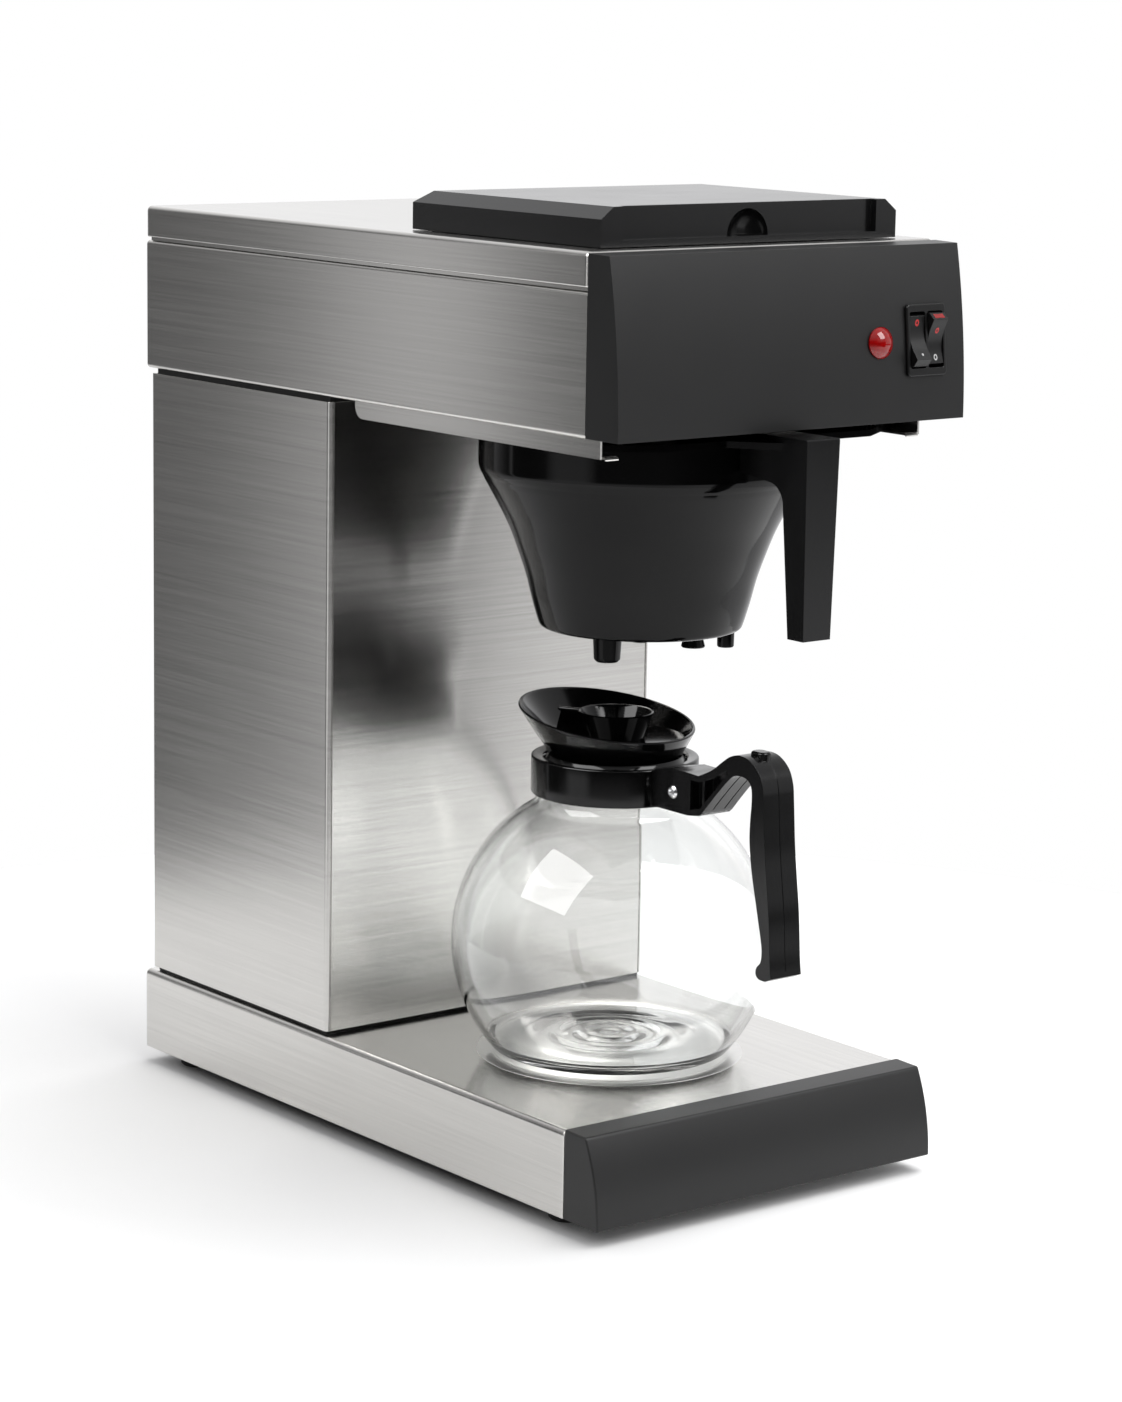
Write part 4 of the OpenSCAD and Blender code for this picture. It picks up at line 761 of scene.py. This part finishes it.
def glass_side(z0, r, f, s):
    """Side of the glass from its foot at z0 up a globe of radius r to the neck.

    Its foot is rounded to f and its shoulder to s."""
    sx = NECK_R + SHOULDER_R
    sz = GLOBE_Z + math.sqrt((GLOBE_R + SHOULDER_R) ** 2 - sx ** 2)
    sa = math.degrees(math.atan2(sz - GLOBE_Z, sx))
    fz = z0 + f
    fx = math.sqrt((r - f) ** 2 - (GLOBE_Z - fz) ** 2)
    fa = math.degrees(math.atan2(fz - GLOBE_Z, fx))
    return (arc(fx, fz, f, -90, fa, 10) + arc(0, GLOBE_Z, r, fa + 1, sa - 1, 64)
            + arc(sx, sz, s, 180 + sa, 180, 10))


def ripple(r, base, size):
    """Height of the glass floor's inner face, with the rings of pressed glass."""
    return base + size * math.cos(r * 2 * math.pi / 13.0) * math.exp(-((r - 20) / 22) ** 2)


foot = [(r, GLASS_Z + 0.4 + 1.7 * (1 - (r / 42) ** 2)) for r in (*range(0, 41, 4), 42)]
foot += [(44, GLASS_Z + 0.1), (48, GLASS_Z), (52, GLASS_Z)]
bowl_in = [(r, ripple(r, GLASS_Z + 5.2 + 1.1 * max(0, 1 - (r / 30) ** 2), 0.55))
           for r in [i * 1.5 for i in range(28)]]
glass_in = glass_side(GLASS_Z + 4.5, GLOBE_R - WALL, 7, SHOULDER_R + WALL)
glass_out = glass_side(GLASS_Z, GLOBE_R, 4.5, SHOULDER_R)
rim = arc(NECK_R - WALL / 2, NECK_TOP - WALL / 2, WALL / 2, 0, 180, 8)
outline = foot + glass_out + rim + list(reversed(glass_in)) + list(reversed(bowl_in))
jug = lathe(outline, 0, BREW_Y, 160)
piece(jug, "jug_globe", glass, body="jug", stands_for=["jug_glass"], angle=80)

COLLAR_R, COLLAR_LOW, COLLAR_TOP = 40.3, 177.7, 196.0
collar = lathe([(37.15, COLLAR_LOW), (39.4, COLLAR_LOW)] + arc(39.5, COLLAR_LOW + 0.8, 0.8, -80, 0, 4)
               + arc(39.2, COLLAR_TOP - 1.1, 1.1, 0, 90, 6)
               + [(35.6, COLLAR_TOP - 0.5), (34.8, COLLAR_TOP - 1.0), (34.8, COLLAR_TOP - 1.7),
                  (37.15, COLLAR_TOP - 1.7)], 0, BREW_Y, ROUND)
collar = cut(collar, box(-0.5, 0.5, 50, BREW_Y, 170, 200))
lugs = [box(s * 1.75 - 1.25, s * 1.75 + 1.25, BREW_Y - 61, BREW_Y - 38.5, 181, 194.5) for s in (-1, 1)]
collar = join(collar, *lugs)
piece(collar, "jug_band", gloss_black, body="jug", stands_for=["jug_collar"],
      angle=35)

GRIP_HALF = 9.3
grip_outer = smooth([(27.5, 198.9), (18.1, 203.2), (10.7, 208.4), (5, 211.9), (-1.3, 213.4), (-8.3, 212.2),
                     (-14.6, 207.7), (-17.8, 201), (-18.8, 192.4), (-20.3, 172.8), (-22.3, 156.9),
                     (-24.3, 141.4), (-25.8, 121.5), (-26.8, 113.2)], 5)
grip_inner = smooth([(-23, 111.4), (-18.4, 111.6), (-16.2, 113.6), (-16.6, 116.8), (-19.2, 119.6),
                     (-19.9, 124), (-19.2, 130), (-15.9, 143.4), (-11.7, 160.4), (-9.7, 174), (-9.7, 184),
                     (-10.4, 193), (-9.8, 200), (-6, 203.4), (1.1, 203.5), (6, 200.5), (15.5, 191.1),
                     (24.4, 181.5)], 5)
handle = prism("x", [(62, 196), (45, 199.4), (34.4, 199.2)] + grip_outer + grip_inner
               + [(26, 180.2), (34, 178.9), (62, 178.9)], -GRIP_HALF, GRIP_HALF)
handle = cut(handle, rod("z", (0, BREW_Y), COLLAR_R + 0.05, 170, 210, ROUND),
             box(-3.1, 3.1, 38.5, 70, 180.8, 194.8))
POCKET = [(33, 182), (33, 196.3), (27, 195.9), (17, 199.6), (10, 203.6), (7.5, 204.6), (6.6, 203.4),
          (18, 191.7), (26, 183.6)]
POCKET_RIB = [(23.6, 185), (25.0, 185), (25.0, 197.5), (23.6, 198)]


def groove(path, depth, x0, x1):
    """Cutter for a groove along a path (y, z) on the handle's skin."""
    lip = -0.35 if depth > 0 else 0.22
    return prism("x", offset_path(path, lip) + list(reversed(offset_path(path, depth))), x0, x1)


for s in (-1, 1):
    handle = cut(handle, prism("x", POCKET, *sorted((s * 3.4, s * (GRIP_HALF + 1)))))
    handle = join(handle, prism("x", POCKET_RIB, *sorted((s * 3.0, s * (GRIP_HALF - 0.6)))))
    handle = cut(handle, groove(grip_inner[-17:-1], 2, s * 3.6 - 0.3, s * 3.6 + 0.3))
handle = cut(handle, groove(grip_outer[26:-2], -2, -0.2, 0.2))
bump = prism("z", round_rect(7.4, 9.6, 3.2, 6), 209, 215.3)
bmesh.ops.bevel(bump, geom=[e for e in bump.edges if all(v.co.z > 215 for v in e.verts)], offset=1.3,
                segments=5, affect="EDGES", profile=0.5)
bump.transform(Matrix.Translation((0, -5.6, 0)))
handle = join(handle, bump)
piece(handle, "jug_grip", grip_black, body="jug", stands_for=["jug_handle"],
      bevel=1.1, segments=4, angle=38)

screw = lathe([(0, 0.2), (1.4, 0.2), (1.7, 1.0), (2.2, 1.0), (3.1, 0.3), (3.3, 0), (2, 0), (2, -17.5),
               (0, -17.5)], 0, 0, 40)
screw.transform(Matrix.Translation((-GRIP_HALF, 45.7, 188.2)) @ Matrix.Rotation(-math.pi / 2, 4, "Y"))
piece(screw, "jug_band_screw", screw_metal, body="jug",
      stands_for=["jug_handle_screw"], angle=35)

# ---- jug lid --------------------------------------------------------------------

LID_TURN = 15           # the lid sits turned a little on the jug, degrees
FLOOR_Z, WALL_T, RIM_TILT, RIB_TURN = 204.8, 1.8, 9.4, 112


def tilted(bm, r, dy, z, tilt, n=128):
    """Ring of the lid's bowl, moved dy back and tilted by some degrees about X."""
    t = math.radians(tilt)
    return [bm.verts.new((u, dy + v * math.cos(t), z + v * math.sin(t))) for u, v in circle(0, 0, r, n)]


def between(low, high, t):
    """The ring a share t of the way from low to high, each (r, dy, z, tilt)."""
    return tuple(a + (b - a) * t for a, b in zip(low, high))


bowl = bmesh.new()
low, high = (34.6, 0.3, 201.2, 0.4), (42.7, 5.25, 213.6, RIM_TILT)
low_in, high_in = (33.2, 0.2, 204.9, 0.2), (high[0] - WALL_T + 0.3, high[1], 213.9, RIM_TILT)
rows = [(9.6, 0, 200, 0), (31.6, 0, 200, 0), (31.8, 0, 184.3, 0), (32.3, 0, 184, 0), (33.7, 0, 184, 0),
        (34, 0, 184.3, 0), (34, 0, 194.2, 0), (32.6, 0, 195.8, 0), (32.4, 0, 196.6, 0),
        (33.9, 0.1, 200.2, 0.2), (34.3, 0.2, 200.8, 0.3)]
rows += [between(low, high, i / 8) for i in range(9)]
rows += [(42.95, 5.3, 214.1, RIM_TILT), (42.8, 5.3, 214.6, RIM_TILT), (42.3, 5.3, 214.8, RIM_TILT),
         (41.7, 5.28, 214.6, RIM_TILT)]
rows += [between(high_in, low_in, i / 8) for i in range(9)]
rows += [(32.4, 0.1, FLOOR_Z, 0), (9.6, 0, FLOOR_Z, 0)]
skin(bowl, [tilted(bowl, *row) for row in rows])
cone = lathe([(9.2, 199.2), (11.0, 199.2), (17.9, 216.5), (18.0, 217.0), (17.6, 217.3), (17.0, 217.1),
              (16.7, 216.6)], 0, 0, 96)
rib = prism("y", [(10, 203), (30, 203), (29, 208), (27, 215.9), (16.5, 215.6), (11, 204)], -0.8, 0.8)
crest = skin_rod((15.6, 216.2), (27.6, 216.6), 1.15)
for b in (rib, crest):
    b.transform(Matrix.Rotation(math.radians(RIB_TURN), 4, "Z"))
bowl = join(bowl, cone, rib, crest)
bowl = cut(bowl, lathe([(0, 198), (9.2, 198), (16.6, 216.4), (17.2, 219), (0, 219)], 0, 0, 96),
           *[rod("z", hole, 5, 198, 206, 40) for hole in arc(0, 0, 23, 30, 90, 2)])
on_jug = Matrix.Translation((0, BREW_Y, 0)) @ Matrix.Rotation(math.radians(LID_TURN), 4, "Z")
piece(bowl, "jug_lid_moulding", gloss_black, body="jug_lid", stands_for=["jug_lid"],
      angle=35, matrix=on_jug)

# ---- stage ----------------------------------------------------------------------

FLOOR_R = 0.62
SHADE_MIDDLE, SHADE_R = (-0.06, 0.14, 0), 0.24      # painted light: the floor's glow grows from here to its rim


def studio_floor():
    """Pale round floor under the object, with painted light: it glows more towards its rim."""
    bm = bmesh.new()
    n = 96
    rows = [[bm.verts.new((0, 0, 0))]]
    for r in (0.15, 0.3, 0.45, FLOOR_R):
        rows.append([bm.verts.new((x, y, 0)) for x, y in circle(0, 0, r, n)])
    for a, b in zip(rows, rows[1:]):
        for i in range(n):
            j = (i + 1) % n
            bm.faces.new((a[0], b[i], b[j]) if len(a) == 1 else (a[i], b[i], b[j], a[j]))
    obj = to_object(bm, "studio_floor")
    p = Paint("floor_with_painted_glow").set(Roughness=0.9)
    p.bsdf.inputs["Specular IOR Level"].default_value = 0.2
    p.color(p.ramp(p.noise((3, 3, 3), 2), (0.9, 0.9, 0.9), (0.92, 0.92, 0.92)))
    # painted light: emission that grows away from SHADE_MIDDLE lightens the floor and the shade around the
    # object
    away = p.node("ShaderNodeVectorMath", operation="DISTANCE")
    p.link(p.coords.outputs["Object"], away.inputs[0])
    away.inputs[1].default_value = SHADE_MIDDLE
    glow = p.spread(away.outputs["Value"], 0.0, 0.22, SHADE_R, FLOOR_R)
    p.link(glow, p.bsdf.inputs["Emission Strength"])
    p.set(Emission_Color=(1, 1, 1, 1))
    obj.data.materials.append(p.mat)


studio_floor()

world = bpy.data.worlds.new("studio")
bpy.context.scene.world = world
world.use_nodes = True
tree = world.node_tree


def sky_node(kind, *inputs, **values):
    n = tree.nodes.new(kind)
    for k, v in values.items():
        setattr(n, k, v)
    for i, v in enumerate(inputs):
        if isinstance(v, bpy.types.NodeSocket):
            tree.links.new(v, n.inputs[i])
        elif v is not None:
            n.inputs[i].default_value = v
    return n


def ramp_of(value, points):
    """Grey levels at positions from 0 to 1."""
    r = sky_node("ShaderNodeValToRGB", value)
    els = r.color_ramp.elements
    while len(els) < len(points):
        els.new(0.5)
    for e, (at, level) in zip(els, points):
        e.position, e.color = at, (level, level, level * 1.01, 1)
    return r.outputs["Color"]


def towards(direction):
    dot = sky_node("ShaderNodeVectorMath", level_way, direction, operation="DOT_PRODUCT")
    return dot.outputs["Value"]


def lobe(direction, a, b):
    """0 to 1 as the level direction turns towards the given one."""
    return ramp_of(towards(direction), [(a, 0.0), (b, 1.0)])


def blend_in(share, under, over):
    m = sky_node("ShaderNodeMix", data_type="RGBA")
    tree.links.new(share, m.inputs["Factor"])
    tree.links.new(under, m.inputs["A"])
    tree.links.new(over, m.inputs["B"])
    return m.outputs["Result"]


# The studio as the object sees it: a bright wall to the rear right, a lit floor to the front right and on
# the left, a dim room with one lit strip to the rear left, and darkness around the camera.
out = next(n for n in tree.nodes if n.type == "OUTPUT_WORLD")
dim = next(n for n in tree.nodes if n.type == "BACKGROUND")
way = tree.nodes.new("ShaderNodeTexCoord").outputs["Generated"]
split = sky_node("ShaderNodeSeparateXYZ", way)
height = sky_node("ShaderNodeMath", split.outputs["Z"], 0.5, 0.5, operation="MULTIPLY_ADD").outputs[0]
flat = sky_node("ShaderNodeVectorMath", way, (1, 1, 0), operation="MULTIPLY").outputs[0]
level_way = sky_node("ShaderNodeVectorMath", flat, operation="NORMALIZE").outputs[0]
room = ramp_of(height, [(0.0, 0.8), (0.31, 0.7), (0.37, 0.3), (0.46, 0.04), (0.53, 0.018), (0.62, 0.03),
                        (0.8, 0.4), (1.0, 0.6)])
glow_left = ramp_of(height, [(0.0, 0.98), (0.345, 0.98), (0.37, 0.02), (0.55, 0.03), (0.63, 0.42),
                             (1.0, 0.5)])
glow_right = ramp_of(height, [(0.0, 1.0), (0.415, 1.0), (0.438, 0.03), (0.46, 0.03), (0.478, 0.62),
                              (1.0, 0.55)])
wall = ramp_of(height, [(0.0, 0.62), (0.47, 0.62), (0.53, 0.74), (0.59, 0.93), (0.66, 0.95), (0.85, 0.6),
                        (1.0, 0.6)])
across = towards((0.79, 0.61, 0))
across = sky_node("ShaderNodeMath", across, 2.0, 0.5, operation="MULTIPLY_ADD").outputs[0]
floor_glow = blend_in(ramp_of(across, [(0.46, 0.0), (0.515, 1.0)]), glow_left, glow_right)
strip = ramp_of(across, [(0.40, 0.06), (0.48, 0.06), (0.5, 0.08), (0.521, 0.5), (0.555, 0.62),
                         (0.61, 0.26), (0.66, 0.08), (0.8, 0.08)])
strip = blend_in(ramp_of(height, [(0.28, 1.0), (0.34, 0.0), (0.66, 0.0), (0.78, 1.0)]), strip, room)
left_floor = ramp_of(height, [(0.0, 0.8), (0.43, 0.8), (0.47, 0.05), (1.0, 0.03)])
seen_by_steel = blend_in(lobe((-1, 0.02, 0), 0.94, 0.985), room, left_floor)
seen_by_steel = blend_in(lobe((-0.61, 0.79, 0), 0.86, 0.95), seen_by_steel, strip)
seen_by_steel = blend_in(lobe((0.61, -0.79, 0), 0.45, 0.85), seen_by_steel, floor_glow)
seen_by_steel = blend_in(lobe((0.62, 0.785, 0), 0.35, 0.85), seen_by_steel, wall)
tree.links.new(seen_by_steel, dim.inputs["Color"])
dim.inputs["Strength"].default_value = 1.3
bright = sky_node("ShaderNodeBackground", (1, 1, 1, 1), 1.0)
rays = tree.nodes.new("ShaderNodeLightPath")
seen = sky_node("ShaderNodeMath", rays.outputs["Is Camera Ray"], rays.outputs["Is Transmission Ray"],
                operation="MAXIMUM")
blend = sky_node("ShaderNodeMixShader", seen.outputs[0], dim.outputs[0], bright.outputs[0])
tree.links.new(blend.outputs[0], out.inputs["Surface"])


def softbox(name, place, aim, size, power, glint=False):
    """Square light; a glint is seen only in reflections."""
    data = bpy.data.lights.new(name, "AREA")
    data.shape, data.size, data.size_y, data.energy = "RECTANGLE", size[0], size[1], power
    obj = bpy.data.objects.new(name, data)
    bpy.context.scene.collection.objects.link(obj)
    obj.location = place
    obj.rotation_mode = "QUATERNION"
    obj.rotation_quaternion = (Vector(aim) - Vector(place)).to_track_quat("-Z", "Y")
    obj.visible_camera = False
    obj.visible_transmission = False
    obj.visible_diffuse = not glint
    obj.visible_glossy = glint


JUG = (0, -0.0634, 0.105)
softbox("overhead", (0.62, -0.2, 2.1), (0, 0, 0.1), (1.9, 1.7), 34)
softbox("front", (0.2, -1.8, 1.9), (0, 0, 0.2), (1.4, 1.4), 14)
softbox("left", (-1.7, -0.3, 1.5), (0, 0, 0.2), (1.2, 1.2), 8)
softbox("left_glint", (-1.673, 0.159, 1.762), JUG, (1.7, 1.45), 53, glint=True)
softbox("right_glint", (0.643, -1.569, 1.811), JUG, (1.2, 1.4), 40, glint=True)

# ---- camera ---------------------------------------------------------------------

BACK = Vector((-0.6096, -0.7710, 0.1843)).normalized()
RIGHT = Vector((0.7844, -0.6202, 0)).normalized()
ROLL = math.radians(0.97)
up = BACK.cross(RIGHT)
right = math.cos(ROLL) * RIGHT + math.sin(ROLL) * up
up = -math.sin(ROLL) * RIGHT + math.cos(ROLL) * up
lens_data = bpy.data.cameras.new("camera")
lens_data.lens, lens_data.sensor_width, lens_data.sensor_fit = 99.11, 36.0, "AUTO"
lens_data.clip_start, lens_data.clip_end = 0.05, 60
camera = bpy.data.objects.new("camera", lens_data)
bpy.context.scene.collection.objects.link(camera)
turn = Matrix((right, up, BACK)).transposed().to_4x4()
camera.matrix_world = Matrix.Translation((-1.1465, -1.47085, 0.5618)) @ turn
bpy.context.scene.camera = camera
bpy.context.scene.view_settings.view_transform = "Standard"
